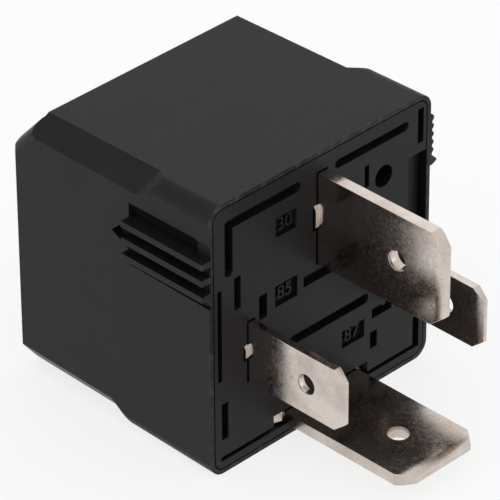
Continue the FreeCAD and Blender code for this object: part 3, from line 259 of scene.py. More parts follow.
# %% [markdown]
# ## Black moulded plastic
#
# Cover and base are glass-filled PBT, moulded in a spark-eroded tool. That leaves a satin skin with a
# fine even grain. Along the rim of the cover's mouth the colour is painted a little lighter in patches:
# partly where the cover has rubbed, partly a painted highlight along that edge. PBT bends light about 1.55,
# and the specular level is low because the grain scatters most of what a smooth skin would mirror. The
# grain is really near 0.05 mm and is drawn at 0.12 to 0.18 mm so that it shows.

# %% Plastic materials
# The rim's lighter colour: partly rubbed plastic, partly a painted highlight along the edge.
RIM_HIGHLIGHT_AND_RUB = "#323236"
RIM_PATCH_MM = 0.9


def rim_highlight_and_wear(tree, highlight_and_rub_mm):
    """Patches along the rim of the mouth, the first highlight_and_rub_mm behind y = 0: partly rubbed wear,
    partly a painted highlight.
    """
    place = add_node(tree, "ShaderNodeTexCoord").outputs["Object"]
    depth = add_node(tree, "ShaderNodeSeparateXYZ", {0: place}).outputs["Y"]
    at_rim = add_node(tree, "ShaderNodeMapRange",
                      {"Value": depth, "From Min": 0.0, "From Max": highlight_and_rub_mm * MM,
                       "To Min": 1.0, "To Max": 0.0})
    patches = add_node(tree, "ShaderNodeMapRange",
                       {"Value": grain(tree, RIM_PATCH_MM, 3.0), "From Min": 0.48, "From Max": 0.68})
    return add_node(tree, "ShaderNodeMath", {0: at_rim, 1: patches}, operation="MULTIPLY")


def moulded_pbt(name, dark, light, roughness, grain_mm, highlight_and_rub_mm=0.0):
    """Black plastic between two close tones; highlight_and_rub_mm is how far behind its rim the colour is
    painted lighter, partly as rubbed wear, partly as a painted highlight.
    """
    material, tree, shader = new_material(name, IOR=1.55, Specular_IOR_Level=0.15)
    skin = drifting_colour(tree, grain(tree, 4.0, 3.0), dark, light)
    # Along the rim the colour is painted lighter in patches: partly rubbed wear, partly a painted highlight
    # along the edge.
    if highlight_and_rub_mm:
        skin = add_node(tree, "ShaderNodeMix", {0: rim_highlight_and_wear(tree, highlight_and_rub_mm), 6: skin, 7: linear(RIM_HIGHLIGHT_AND_RUB)},
                        data_type="RGBA").outputs[2]
    fine = grain(tree, grain_mm, 3.0)
    gloss = add_node(tree, "ShaderNodeMapRange",
                     {"Value": fine, **NOISE_SPAN, "To Min": roughness - 0.06, "To Max": roughness + 0.08})
    relief = add_node(tree, "ShaderNodeBump", {"Height": fine, "Distance": 0.006 * MM, "Strength": 0.4})
    join_patterns(tree, shader, Base_Color=skin, Roughness=gloss, Normal=relief)
    return material


cover_pbt = moulded_pbt("spark_eroded_pbt", "#131315", "#171719", 0.42, 0.18, 0.22)
base_pbt = moulded_pbt("smooth_moulded_pbt", "#110f12", "#161417", 0.4, 0.12)
print("plastics:", cover_pbt.name, base_pbt.name)

# %% [markdown]
# ## Tinned blades
#
# The blades are stamped from rolled brass and tinned: a warm, slightly cloudy white metal. Rolling lines run
# along the strip, tin crystals break them up, and fine pits sit between. A metal keeps its own index of
# refraction, so colour and roughness carry the difference between metals. The pits are drawn at 0.13 mm,
# coarser than real ones, so that they show.

# %% Tinned brass
TIN_PIT = "#a3968c"


def tinned_strip(name):
    """Rolled brass strip under tin: rolling lines, tin crystals and fine pits."""
    material, tree, shader = new_material(name, Metallic=1.0)
    lines = grain(tree, 0.12, 3.0, (1, 0.06, 1))
    crystals = grain(tree, 0.35, 5.0)
    pits = add_node(tree, "ShaderNodeMapRange",
                    {"Value": grain(tree, 0.13, 1.0), "From Min": 0.67, "From Max": 0.73})
    metal = drifting_colour(tree, grain(tree, 3.0, 5.0), "#d9cfc8", "#c2b6ae",
                            {"From Min": 0.35, "From Max": 0.65})
    pitted = add_node(tree, "ShaderNodeMix", {0: pits, 6: metal, 7: linear(TIN_PIT)}, data_type="RGBA")
    smooth = add_node(tree, "ShaderNodeMapRange",
                      {"Value": crystals, **NOISE_SPAN, "To Min": 0.14, "To Max": 0.25})
    gloss = add_node(tree, "ShaderNodeMath", {0: pits, 1: 0.12, 2: smooth}, operation="MULTIPLY_ADD")
    waves = add_node(tree, "ShaderNodeMath", {0: lines, 1: 0.5, 2: crystals}, operation="MULTIPLY_ADD")
    height = add_node(tree, "ShaderNodeMath", {0: pits, 1: -0.3, 2: waves}, operation="MULTIPLY_ADD")
    relief = add_node(tree, "ShaderNodeBump", {"Height": height, "Distance": 0.005 * MM, "Strength": 0.5})
    join_patterns(tree, shader, Base_Color=pitted.outputs[2], Roughness=gloss, Normal=relief)
    return material


tinned_brass = tinned_strip("tinned_brass_strip")
print("blades:", tinned_brass.name)

# %% [markdown]
# ## The metals inside
#
# Yoke and stop are soft iron under bright zinc; core and armature are a little darker and smoother. The
# leaf is rolled tin bronze, the contacts are a silver alloy, the rivets nickelled steel, and the braid is
# bare copper. All are clouded a little by handling, with fine specks, so one function gives each its tones
# and its gloss.

# %% Metal materials
def plated_metal(name, clean, dull, roughness, spread, speck_mm=0.12, depth_mm=0.003):
    """Bright metal that clouds from clean to dull, with fine specks in its gloss."""
    material, tree, shader = new_material(name, Metallic=1.0)
    skin = drifting_colour(tree, grain(tree, 2.5, 4.0), clean, dull)
    specks = grain(tree, speck_mm, 2.0)
    gloss = add_node(tree, "ShaderNodeMapRange", {"Value": specks, "From Min": 0.35, "From Max": 0.75,
                                                  "To Min": roughness, "To Max": roughness + spread})
    relief = add_node(tree, "ShaderNodeBump", {"Height": specks, "Distance": depth_mm * MM, "Strength": 0.5})
    join_patterns(tree, shader, Base_Color=skin, Roughness=gloss, Normal=relief)
    return material


zinc_iron = plated_metal("bright_zinc_on_iron", "#c9c9c6", "#b4b5b3", 0.3, 0.15)
pole_iron = plated_metal("turned_iron", "#a9a8a4", "#94938f", 0.26, 0.12)
tin_bronze = plated_metal("rolled_tin_bronze", "#cfa56f", "#bb8d58", 0.24, 0.12)
silver_alloy = plated_metal("silver_contact_alloy", "#e6e4df", "#cfcdc8", 0.34, 0.14)
rivet_steel = plated_metal("nickelled_rivet_steel", "#cbc8c2", "#b8b5af", 0.25, 0.15)
bare_copper = plated_metal("bare_copper_strand", "#d98a5c", "#b9683c", 0.28, 0.18, 0.05, 0.002)
print("metals inside:", zinc_iron.name, pole_iron.name, tin_bronze.name, silver_alloy.name)

# %% [markdown]
# ## Coil materials
#
# Magnet wire is copper under a thin clear enamel, so it is a metal with a glossy coat. The bobbin is
# natural glass-filled nylon, ivory and a little waxy, and the wrap is amber polyester film.

# %% Coil materials
def enamelled_wire():
    """Copper under a clear coat of enamel."""
    material, tree, shader = new_material("enamelled_copper_wire", Metallic=1.0, Roughness=0.3,
                                          Coat_Weight=0.7, Coat_Roughness=0.08, Coat_IOR=1.55)
    copper = drifting_colour(tree, grain(tree, 1.5, 3.0), "#b5602f", "#8f4520")
    join_patterns(tree, shader, Base_Color=copper)
    return material


def ivory_nylon():
    """Nylon that lets a little light in, redder the deeper it goes."""
    material, tree, shader = new_material("natural_nylon", IOR=1.53, Subsurface_Weight=0.2,
                                          Subsurface_Scale=0.002, Subsurface_Radius=(1.0, 0.8, 0.5))
    ivory = drifting_colour(tree, grain(tree, 3.0, 3.0), "#dcd2b8", "#cfc3a4")
    fine = grain(tree, 0.2, 2.0)
    gloss = add_node(tree, "ShaderNodeMapRange", {"Value": fine, **NOISE_SPAN, "To Min": 0.4, "To Max": 0.55})
    relief = add_node(tree, "ShaderNodeBump", {"Height": fine, "Distance": 0.01 * MM, "Strength": 0.5})
    join_patterns(tree, shader, Base_Color=ivory, Roughness=gloss, Normal=relief)
    return material


def amber_film():
    """Glossy film with shallow creases that run across the coil."""
    material, tree, shader = new_material("amber_polyester_film", IOR=1.6, Coat_Weight=0.4)
    creases = grain(tree, 1.2, 3.0, (1, 4, 1))
    amber = drifting_colour(tree, creases, "#c98a2c", "#b87820")
    gloss = add_node(tree, "ShaderNodeMapRange",
                     {"Value": creases, **NOISE_SPAN, "To Min": 0.12, "To Max": 0.3})
    relief = add_node(tree, "ShaderNodeBump", {"Height": creases, "Distance": 0.05 * MM, "Strength": 0.4})
    join_patterns(tree, shader, Base_Color=amber, Roughness=gloss, Normal=relief)
    return material


coil_wire = enamelled_wire()
nylon = ivory_nylon()
film = amber_film()
print("coil materials:", coil_wire.name, nylon.name, film.name)

# %% [markdown]
# ## Rounding the edges
#
# No moulded or stamped edge is perfectly sharp, and the thin line of light along each edge is what makes
# a black box readable. Each piece is a copy of its node with the loose triangles merged into whole faces.
# Bevel then rounds only the edges where two faces meet at a real angle.

# %% Functions for a rounded copy
SAME_PLACE = 0.002 * MM
NO_LENGTH = 0.001 * MM
SAME_PLANE = math.radians(0.6)
ROUNDED_FROM = math.radians(28)
CREASED_FROM = math.radians(32)


def merged(source):
    """A copy of a mesh with its loose triangles made whole faces."""
    mesh = source.copy()
    work = bmesh.new()
    work.from_mesh(mesh)
    bmesh.ops.remove_doubles(work, verts=work.verts, dist=SAME_PLACE)
    bmesh.ops.dissolve_degenerate(work, edges=work.edges, dist=NO_LENGTH)
    bmesh.ops.dissolve_limit(work, angle_limit=SAME_PLANE, verts=work.verts, edges=work.edges)
    work.to_mesh(mesh)
    work.free()
    return mesh


def modified(mesh, kind, **settings):
    """The plain mesh that one modifier makes of another."""
    holder = bpy.data.objects.new("modified", mesh)
    bpy.context.scene.collection.objects.link(holder)
    modifier = holder.modifiers.new("step", kind)
    for name, value in settings.items():
        setattr(modifier, name, value)
    result = bpy.data.meshes.new_from_object(holder.evaluated_get(bpy.context.evaluated_depsgraph_get()))
    bpy.data.objects.remove(holder)
    return result


def evenly_shaded(mesh):
    """Flat faces shade flat, and only the rounded edges turn the light."""
    mesh.shade_smooth()
    mesh.set_sharp_from_angle(angle=CREASED_FROM)
    return modified(mesh, "WEIGHTED_NORMAL", keep_sharp=True, weight=50)


def finish_mesh(source, rounding_mm, segments=2):
    """A merged copy of a mesh with its real edges rounded."""
    mesh = merged(source)
    if rounding_mm:
        mesh = modified(mesh, "BEVEL", width=rounding_mm * MM, segments=segments, limit_method="ANGLE",
                        angle_limit=ROUNDED_FROM, use_clamp_overlap=True)
    return evenly_shaded(mesh)


print("edges are rounded from", round(math.degrees(ROUNDED_FROM)), "degrees")

# %% [markdown]
# ## Putting a piece in its place
#
# A finished mesh stands for the node that it was made from and rides on the body that the node belongs to:
# the housing, or the armature that swings on it.

# %% Functions for a piece
def add_piece(name, mesh, material, body, slot, *nodes):
    """Puts a finished mesh in the scene, on its body, in place of its nodes."""
    mesh.name = name
    mesh.materials.clear()
    mesh.materials.append(material)
    piece = bpy.data.objects.new(name, mesh)
    bpy.context.scene.collection.objects.link(piece)
    if nodes:
        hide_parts(*nodes)
    if body:
        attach(piece, body)
    mesh.calc_loop_triangles()
    print(name, len(mesh.loop_triangles), "triangles")
    return piece


def dress(node, name, rounding_mm, material, body, slot):
    """A finished copy of one node in its place, with its edges rounded."""
    mesh = finish_mesh(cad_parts[node].data, rounding_mm)
    return add_piece(name, mesh, material, body, slot, node)


print("bodies: housing, armature")

# %% [markdown]
# ## Terminal numbers
#
# The base plate carries the terminal numbers that every such relay has, raised from the floor of shallow
# fields so that they don't rub off. They are cut from Blender's own font, made a mesh, and only then stood
# upright in their fields.

# %% Numbers
FIGURE_SHARE = 0.72  # a figure's height as a share of the font's size
NUMBER_HEIGHT = 1.4 * MM
NUMBER_RELIEF = 0.3 * MM
FIELD_DEPTH = 0.5 * MM
NUMBER_PLACES = {"30": (-4.5, 8.7), "85": (-4.5, 1.5), "87": (4.15, -7.31)}


def raised_number(word, place):
    """A number standing on the floor of its field, read from the terminals' side."""
    curve = bpy.data.curves.new("number_" + word, "FONT")
    curve.body = word
    curve.size = NUMBER_HEIGHT / FIGURE_SHARE
    curve.align_x = "CENTER"
    curve.align_y = "CENTER"
    curve.extrude = NUMBER_RELIEF / 2
    curve.resolution_u = 3
    holder = bpy.data.objects.new("number", curve)
    bpy.context.scene.collection.objects.link(holder)
    mesh = bpy.data.meshes.new_from_object(holder.evaluated_get(bpy.context.evaluated_depsgraph_get()))
    bpy.data.objects.remove(holder)
    upright = Matrix.Rotation(math.radians(90), 4, "X")
    middle = (place[0] * MM, FIELD_DEPTH - NUMBER_RELIEF / 2, place[1] * MM)
    mesh.transform(Matrix.Translation(middle) @ upright)
    return mesh


numbers = [raised_number(word, place) for word, place in NUMBER_PLACES.items()]
print("numbers:", ", ".join(NUMBER_PLACES))

# %% [markdown]
# ## Cover
#
# The cover is one moulding. Its tool is rounded wider where the slope of the closed end runs into the side
# walls than anywhere else. A bevel can't follow that edge through the corners round it, so a bar with a
# hollow quarter round is cut away along it, as a moulder would file the tool. All the other outside edges
# are rounded about 0.16 mm, and each then catches a thin light line.

# %% Functions for the end's corners
SLOPE_BESIDE = 13.1 * MM  # the edge lies further out than this,
SLOPE_BEHIND = 23.8 * MM  # nearer the closed end than this,
SLOPE_LOWEST = 9.5 * MM  # and between these two heights
SLOPE_HIGHEST = 11.9 * MM


def slope_edge(mesh, side):
    """The edge where the end's slope runs into a side wall: its upper and its lower end."""
    found = []
    for edge in mesh.edges:
        ends = [mesh.vertices[i].co for i in edge.vertices]
        if all(c.x * side > SLOPE_BESIDE and c.y > SLOPE_BEHIND and SLOPE_LOWEST < c.z < SLOPE_HIGHEST
               for c in ends):
            found.append(sorted(ends, key=lambda c: -c.z))
    return max(found, key=lambda pair: (pair[0] - pair[1]).length)


def corner_remover(upper, lower, side, radius, past=2 * MM, outside=0.5 * MM, steps=8):
    """What the tool's rounding takes off an edge: a bar along it with a hollow quarter round."""
    run = (lower - upper).normalized()
    inward = Vector((-side, 0, 0))
    down = run.cross(Vector((1, 0, 0)))
    profile = [(-outside, radius), (-outside, -outside), (radius, -outside)]
    for i in range(steps + 1):
        turn = math.radians(90) * i / steps
        profile.append((radius - radius * math.sin(turn), radius - radius * math.cos(turn)))
    work = bmesh.new()
    rings = []
    for place in (upper - run * past, lower + run * past):
        rings.append([work.verts.new(place + inward * u + down * v) for u, v in profile])
    count = len(profile)
    for i in range(count):
        j = (i + 1) % count
        work.faces.new([rings[0][i], rings[0][j], rings[1][j], rings[1][i]])
    work.faces.new(rings[0])
    work.faces.new(list(reversed(rings[1])))
    bmesh.ops.recalc_face_normals(work, faces=work.faces)
    mesh = bpy.data.meshes.new("corner_remover")
    work.to_mesh(mesh)
    work.free()
    holder = bpy.data.objects.new("corner_remover", mesh)
    bpy.context.scene.collection.objects.link(holder)
    return holder


print("looking for the slope's edges behind", round(SLOPE_BEHIND / MM, 1), "mm")

# %% Cover
COVER_ROUNDING_MM = 0.16
END_CORNER_ROUNDING = 1.3 * MM
cover_mesh = merged(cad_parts["cover"].data)
for side in (-1, 1):
    upper, lower = slope_edge(cover_mesh, side)
    remover = corner_remover(upper, lower, side, END_CORNER_ROUNDING)
    cover_mesh = modified(cover_mesh, "BOOLEAN", object=remover, operation="DIFFERENCE", solver="EXACT")
    bpy.data.objects.remove(remover)
cover_mesh = finish_mesh(cover_mesh, COVER_ROUNDING_MM, 3)
add_piece("moulded_cover", cover_mesh, cover_pbt, "housing", "cover_plastic", "cover")

# %% [markdown]
# ## Base plate
#
# Plate and numbers are one moulding, so they are joined. The field of number 87 is a little lower on the
# real plate than the frame's two, so those are closed flush and one is sunk at the right place. The plate
# also reaches close to the blades above and below their lugs, with a gap of 0.12 mm.

# %% Functions for the fields
def with_block(mesh, operation, field, front_mm, margin_mm=0.0):
    """The mesh with a block added or cut away over a field's outline, from front_mm to the field's floor."""
    (x0, z0), (x1, z1) = field
    low = Vector((x0 - margin_mm, front_mm, z0 - margin_mm)) * MM
    high = Vector((x1 + margin_mm, FIELD_DEPTH / MM + margin_mm, z1 + margin_mm)) * MM
    block = bpy.data.meshes.new("block")
    work = bmesh.new()
    shape = Matrix.Translation((low + high) / 2) @ Matrix.Diagonal((*(high - low), 1))
    bmesh.ops.create_cube(work, size=1.0, matrix=shape)
    work.to_mesh(block)
    work.free()
    holder = bpy.data.objects.new("block", block)
    bpy.context.scene.collection.objects.link(holder)
    result = modified(mesh, "BOOLEAN", object=holder, operation=operation, solver="EXACT")
    bpy.data.objects.remove(holder)
    return result


def joined(meshes):
    """Several meshes as one."""
    work = bmesh.new()
    for mesh in meshes:
        work.from_mesh(mesh)
    result = bpy.data.meshes.new("joined")
    work.to_mesh(result)
    work.free()
    return result


print("fields are", round(FIELD_DEPTH / MM, 2), "mm deep")

# %% Base plate
PLATE_ROUNDING_MM = 0.07
FILLING_MARGIN_MM = 0.1
SPARE_FIELDS = [((2.4, -7.6), (5.4, -5.8)), ((2.4, -10.3), (5.4, -8.5))]
FIELD_87 = ((2.7, -8.25), (5.6, -6.37))
SEAT_ROOM = [((-1.15, 9.02), (-0.82, 12.17)), ((-1.15, 2.43), (-0.82, 6.08)),
             ((-9.85, -1.63), (-9.52, 0.62)), ((-9.85, -5.92), (-9.52, -3.57)),
             ((7.95, -1.63), (8.28, 0.62)), ((7.95, -5.92), (8.28, -3.57))]

plate = merged(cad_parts["base_plate"].data)
for field in SPARE_FIELDS + SEAT_ROOM:
    plate = with_block(plate, "UNION", field, 0.0, FILLING_MARGIN_MM)
plate = finish_mesh(with_block(plate, "DIFFERENCE", FIELD_87, -1.0), PLATE_ROUNDING_MM)
plate = evenly_shaded(joined([plate] + numbers))
add_piece("moulded_base_plate", plate, base_pbt, "housing", "base_plastic", "base_plate")

# %% [markdown]
# ## Blades
#
# Stamping leaves a blade's edges a touch rounded on one side and burred on the other; the tin then covers
# all of it.

# %% Blades
BLADE_ROUNDING_MM = 0.06
for number in ("30", "87", "85", "86"):
    dress("terminal_" + number, "tinned_blade_" + number, BLADE_ROUNDING_MM, tinned_brass, "housing",
          "tinned_brass")

# %% [markdown]
# ## The magnet and the moving pieces
#
# The frame already has these pieces bent, turned and pierced, so they only need their edges broken.

# %% Inside pieces
dress("yoke", "bent_yoke", 0.12, zinc_iron, "housing", "zinc_iron")
dress("core", "turned_core", 0.06, pole_iron, "housing", "zinc_iron")
dress("bobbin", "coil_former", 0.1, nylon, "housing", "bobbin_plastic")
dress("fixed_contact", "fixed_contact_rivet", 0.04, silver_alloy, "housing", "contact_silver")
dress("spring_rivets", "leaf_to_yoke_rivets", 0.04, rivet_steel, "housing", "rivet_steel")
dress("terminal_rivet", "foot_rivet", 0.04, rivet_steel, "housing", "rivet_steel")
dress("rest_stop", "stamped_stop", 0.06, zinc_iron, "housing", "zinc_iron")
dress("armature", "armature_flap", 0.08, pole_iron, "armature", "zinc_iron")
dress("moving_contact", "moving_contact_rivet", 0.04, silver_alloy, "armature", "contact_silver")
dress("armature_rivets", "leaf_to_armature_rivets", 0.04, rivet_steel, "armature", "rivet_steel")
leaf = dress("contact_spring", "bronze_leaf", 0.03, tin_bronze, None, "spring_bronze")
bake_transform(leaf)

# %% [markdown]
# ## Rules for wire
#
# What is wound or braided repeats by a rule, so Geometry Nodes make it. Each tree has named inputs for its
# sizes, lays its curves, gives them a section and ends in one mesh with one material. The last helper here
# runs a tree once and keeps the plain mesh.

# %% Helpers for geometry trees
def new_tree(name, **sizes):
    """An empty geometry tree whose inputs are named for the sizes they set."""
    tree = bpy.data.node_groups.new(name, "GeometryNodeTree")
    tree.interface.new_socket("Geometry", in_out="INPUT", socket_type="NodeSocketGeometry")
    tree.interface.new_socket("Geometry", in_out="OUTPUT", socket_type="NodeSocketGeometry")
    tree.interface.new_socket("material", in_out="INPUT", socket_type="NodeSocketMaterial")
    for label, value in sizes.items():
        kind = "NodeSocketInt" if isinstance(value, int) else "NodeSocketFloat"
        tree.interface.new_socket(label, in_out="INPUT", socket_type=kind).default_value = value
    given = add_node(tree, "NodeGroupInput").outputs
    return tree, given


def close_tree(tree, given, geometry):
    """Realize Instances and Set Material, then the way out."""
    real = add_node(tree, "GeometryNodeRealizeInstances", {"Geometry": geometry})
    coloured = add_node(tree, "GeometryNodeSetMaterial", {"Geometry": real, "Material": given["material"]})
    add_node(tree, "NodeGroupOutput", {"Geometry": coloured})


def grow(tree, start, material, **sizes):
    """Runs a tree on a mesh and gives back the plain mesh that it makes."""
    holder = bpy.data.objects.new("grown", start)
    bpy.context.scene.collection.objects.link(holder)
    modifier = holder.modifiers.new("rule", "NODES")
    modifier.node_group = tree
    sockets = {item.name: item.identifier for item in tree.interface.items_tree if item.in_out == "INPUT"}
    modifier[sockets["material"]] = material
    for label, value in sizes.items():
        modifier[sockets[label]] = value
    mesh = bpy.data.meshes.new_from_object(holder.evaluated_get(bpy.context.evaluated_depsgraph_get()))
    holder.modifiers.remove(modifier)
    bpy.data.objects.remove(holder)
    return mesh


print("trees can grow")

# %% Helpers for routes and sections
def polyline(points_mm):
    """A bare chain of edges for a tree to follow."""
    mesh = bpy.data.meshes.new("route")
    edges = [(i, i + 1) for i in range(len(points_mm) - 1)]
    mesh.from_pydata([Vector(p) * MM for p in points_mm], edges, [])
    return mesh


def round_section(tree, curve, radius, sides):
    """A curve with a round section of the given radius."""
    ring = add_node(tree, "GeometryNodeCurvePrimitiveCircle", {"Resolution": sides, "Radius": radius})
    return add_node(tree, "GeometryNodeCurveToMesh",
                    {"Curve": curve, "Profile Curve": ring, "Fill Caps": True})


def extent(node):
    """Lowest and highest corner of a node's solid."""
    corners = [vertex.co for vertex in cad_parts[node].data.vertices]
    low = Vector(min(c[i] for c in corners) for i in range(3))
    high = Vector(max(c[i] for c in corners) for i in range(3))
    return low, high


coil_low, coil_high = extent("coil_winding")
coil_radius = (coil_high.x - coil_low.x) / 2
coil_middle = (coil_high.z + coil_low.z) / 2
print("winding radius", round(coil_radius / MM, 2), "mm")

# %% [markdown]
# ## The winding
#
# The top layer of the winding is the only one to be seen: one wire of 0.3 mm laid turn against turn. A
# spiral curve follows it exactly. The layers below are the solid of the frame, drawn in a little so that
# the wire stands out of it by half its thickness.

# %% Winding
WIRE_RADIUS = 0.15 * MM
WIRE_PITCH = 2.06 * WIRE_RADIUS


def winding_tree():
    """One layer of wire round a solid that is drawn in where it reaches the layer's middle."""
    tree, given = new_tree("wound_layer", wire_radius=WIRE_RADIUS, coil_radius=8 * MM, length=9.5 * MM,
                           turns=30.0, first_y=8 * MM, middle_z=1.3 * MM, points_per_turn=56, sides=6)
    place = add_node(tree, "GeometryNodeInputPosition")
    parts = add_node(tree, "ShaderNodeSeparateXYZ", {0: place}).outputs
    height = add_node(tree, "ShaderNodeMath", {0: parts["Z"], 1: given["middle_z"]}, operation="SUBTRACT")
    across = add_node(tree, "ShaderNodeMath", {0: parts["X"], 1: parts["X"]}, operation="MULTIPLY")
    upward = add_node(tree, "ShaderNodeMath", {0: height, 1: height}, operation="MULTIPLY")
    squares = add_node(tree, "ShaderNodeMath", {0: across, 1: upward}, operation="ADD")
    distance = add_node(tree, "ShaderNodeMath", {0: squares}, operation="SQRT")
    under = add_node(tree, "ShaderNodeMath", {0: given["coil_radius"], 1: given["wire_radius"]},
                     operation="SUBTRACT")
    outer = add_node(tree, "ShaderNodeMath", {0: distance, 1: under}, operation="GREATER_THAN")
    shrink = add_node(tree, "ShaderNodeMath", {0: under, 1: distance}, operation="DIVIDE")
    drawn_x = add_node(tree, "ShaderNodeMath", {0: parts["X"], 1: shrink}, operation="MULTIPLY")
    drawn_up = add_node(tree, "ShaderNodeMath", {0: height, 1: shrink}, operation="MULTIPLY")
    drawn_z = add_node(tree, "ShaderNodeMath", {0: drawn_up, 1: given["middle_z"]}, operation="ADD")
    moved = add_node(tree, "ShaderNodeCombineXYZ", {"X": drawn_x, "Y": parts["Y"], "Z": drawn_z})
    inner = add_node(tree, "GeometryNodeSetPosition",
                     {"Geometry": given["Geometry"], "Selection": outer, "Position": moved})
    spiral = add_node(tree, "GeometryNodeCurveSpiral",
                      {"Resolution": given["points_per_turn"], "Rotations": given["turns"],
                       "Start Radius": under, "End Radius": under, "Height": given["length"]})
    start = add_node(tree, "ShaderNodeCombineXYZ", {"Y": given["first_y"], "Z": given["middle_z"]})
    laid = add_node(tree, "GeometryNodeTransform",
                    {"Geometry": spiral, "Translation": start, "Rotation": (math.radians(-90), 0, 0)})
    wire = round_section(tree, laid, given["wire_radius"], given["sides"])
    both = add_node(tree, "GeometryNodeJoinGeometry", {0: inner})
    tree.links.new(wire.outputs[0], both.inputs[0])
    close_tree(tree, given, both)
    return tree


coil_length = coil_high.y - coil_low.y - 2 * WIRE_RADIUS
wound = grow(winding_tree(), finish_mesh(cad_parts["coil_winding"].data, 0), coil_wire,
             coil_radius=coil_radius, length=coil_length, turns=coil_length / WIRE_PITCH,
             first_y=coil_low.y + WIRE_RADIUS, middle_z=coil_middle)
wound.set_sharp_from_angle(angle=math.radians(40))
add_piece("wound_wire", wound, coil_wire, "housing", "copper_wire", "coil_winding")

# %% [markdown]
# ## Wire ends on their posts
#
# Each end leaves the coil on a tangent and goes round its post, bent sharply at the post's corners. A
# chain of points gives the route, and the tree rounds each corner and gives the wire its section.

# %% Wire ends
WIRE_OUT = 0.18  # from a surface to the middle of the wire, in millimetres as are all these
POST_HALF_X = 0.4 + WIRE_OUT
POST_HALF_Z = 0.8 + WIRE_OUT
POST_X = 8.9
POST_Z = -2.65
FIRST_TURN_Y = 8.5
TURN_STEP = 0.345
CORNERS_PASSED = 9


def wire_tree():
    """A wire along a chain of points, bent round each of them."""
    tree, given = new_tree("bent_wire", radius=WIRE_RADIUS, bend=0.14 * MM, points_per_bend=5, sides=10)
    curve = add_node(tree, "GeometryNodeMeshToCurve", {"Mesh": given["Geometry"]})
    bent = add_node(tree, "GeometryNodeFilletCurve",
                    {"Curve": curve, "Count": given["points_per_bend"], "Radius": given["bend"]}, mode="POLY")
    close_tree(tree, given, round_section(tree, bent, given["radius"], given["sides"]))
    return tree


def lead_route(side):
    """From the coil's edge to the post and two and a quarter turns round it."""
    reach, drop = POST_X - POST_HALF_X, POST_Z + POST_HALF_Z - coil_middle / MM
    coil = coil_radius / MM + WIRE_OUT
    lean = math.atan2(drop, reach) + math.acos(coil / math.hypot(reach, drop))
    points = [(coil * math.cos(lean), coil_low.y / MM + 0.2, coil_middle / MM + coil * math.sin(lean))]
    corners = [(-POST_HALF_X, POST_HALF_Z), (-POST_HALF_X, -POST_HALF_Z), (POST_HALF_X, -POST_HALF_Z),
               (POST_HALF_X, POST_HALF_Z)]
    for i in range(CORNERS_PASSED):
        x, z = corners[i % 4]
        points.append((POST_X + x, FIRST_TURN_Y + TURN_STEP / 4 * i, POST_Z + z))
    return [(x * side, y, z) for x, y, z in points]


bent_wire = wire_tree()
for terminal, side in (("85", -1), ("86", 1)):
    lead = grow(bent_wire, polyline(lead_route(side)), coil_wire)
    lead.set_sharp_from_angle(angle=math.radians(50))
    add_piece("wire_end_" + terminal, lead, coil_wire, "housing", "copper_wire", "coil_lead_" + terminal)

# %% [markdown]
# ## Film wrap
#
# The wrap is a strip of film that goes once round the coil and laps over its own start, so it is a flat
# section along a spiral that gains its own thickness in a turn.

# %% Film wrap
FILM_THICKNESS = 0.05 * MM
START_INSIDE = 0.09 * MM  # how far the film's start and its end lie inside the frame's ring
END_INSIDE = 0.03 * MM


def wrap_tree():
    """A strip of film that goes once round and laps over its start."""
    tree, given = new_tree("lapped_film", inner_radius=8 * MM, outer_radius=8.1 * MM, turns=1.12,
                           width=8 * MM, thickness=FILM_THICKNESS, first_y=9 * MM, middle_z=1.3 * MM,
                           points_per_turn=96)
    spiral = add_node(tree, "GeometryNodeCurveSpiral",
                      {"Resolution": given["points_per_turn"], "Rotations": given["turns"], "Height": 0.0,
                       "Start Radius": given["inner_radius"], "End Radius": given["outer_radius"]})
    start = add_node(tree, "ShaderNodeCombineXYZ", {"Y": given["first_y"], "Z": given["middle_z"]})
    laid = add_node(tree, "GeometryNodeTransform",
                    {"Geometry": spiral, "Translation": start, "Rotation": (math.radians(-90), 0, 0)})
    section = add_node(tree, "GeometryNodeCurvePrimitiveQuadrilateral",
                       {"Width": given["width"], "Height": given["thickness"]})
    strip = add_node(tree, "GeometryNodeCurveToMesh",
                     {"Curve": laid, "Profile Curve": section, "Fill Caps": True})
    close_tree(tree, given, strip)
    return tree


tape_low, tape_high = extent("coil_tape")
tape_outer = (tape_high.x - tape_low.x) / 2
wrap = grow(wrap_tree(), bpy.data.meshes.new("empty"), film, inner_radius=tape_outer - START_INSIDE,
            outer_radius=tape_outer - END_INSIDE, width=tape_high.y - tape_low.y,
            first_y=(tape_low.y + tape_high.y) / 2, middle_z=coil_middle)
wrap.set_sharp_from_angle(angle=math.radians(35))
add_piece("film_wrap", wrap, film, "housing", "tape_film", "coil_tape")

# %% [markdown]
# ## Copper braid
#
# The braid carries the current past the hinge, so it is woven from fine bare strands to bend freely. Two
# families of strands run round one route in opposite directions, and each rises and dips by its own
# thickness as it meets the others. The tree copies the route once for each strand and moves every point
# round the route by an angle that grows along it.

# %% Braid
BRAID_ROUTE = [(-2.2, 22.98, -6.9), (4.4, 22.98, -6.9), (10.4, 20.58, -3.6), (10.3, 5.87, 7.85),
               (8.0, 5.87, 8.25)]
BRAID_RADIUS = 0.7 * MM
STRAND_RISE = 0.5  # these three in strand radii: how far a strand rises over another,
STRAND_INSET = 1.5  # how far its middle lies inside the braid's outline,
HEART_INSET = 2.2  # and how far the heart does
HEART_SIDES = 14
FULL_TURN = 2 * math.pi


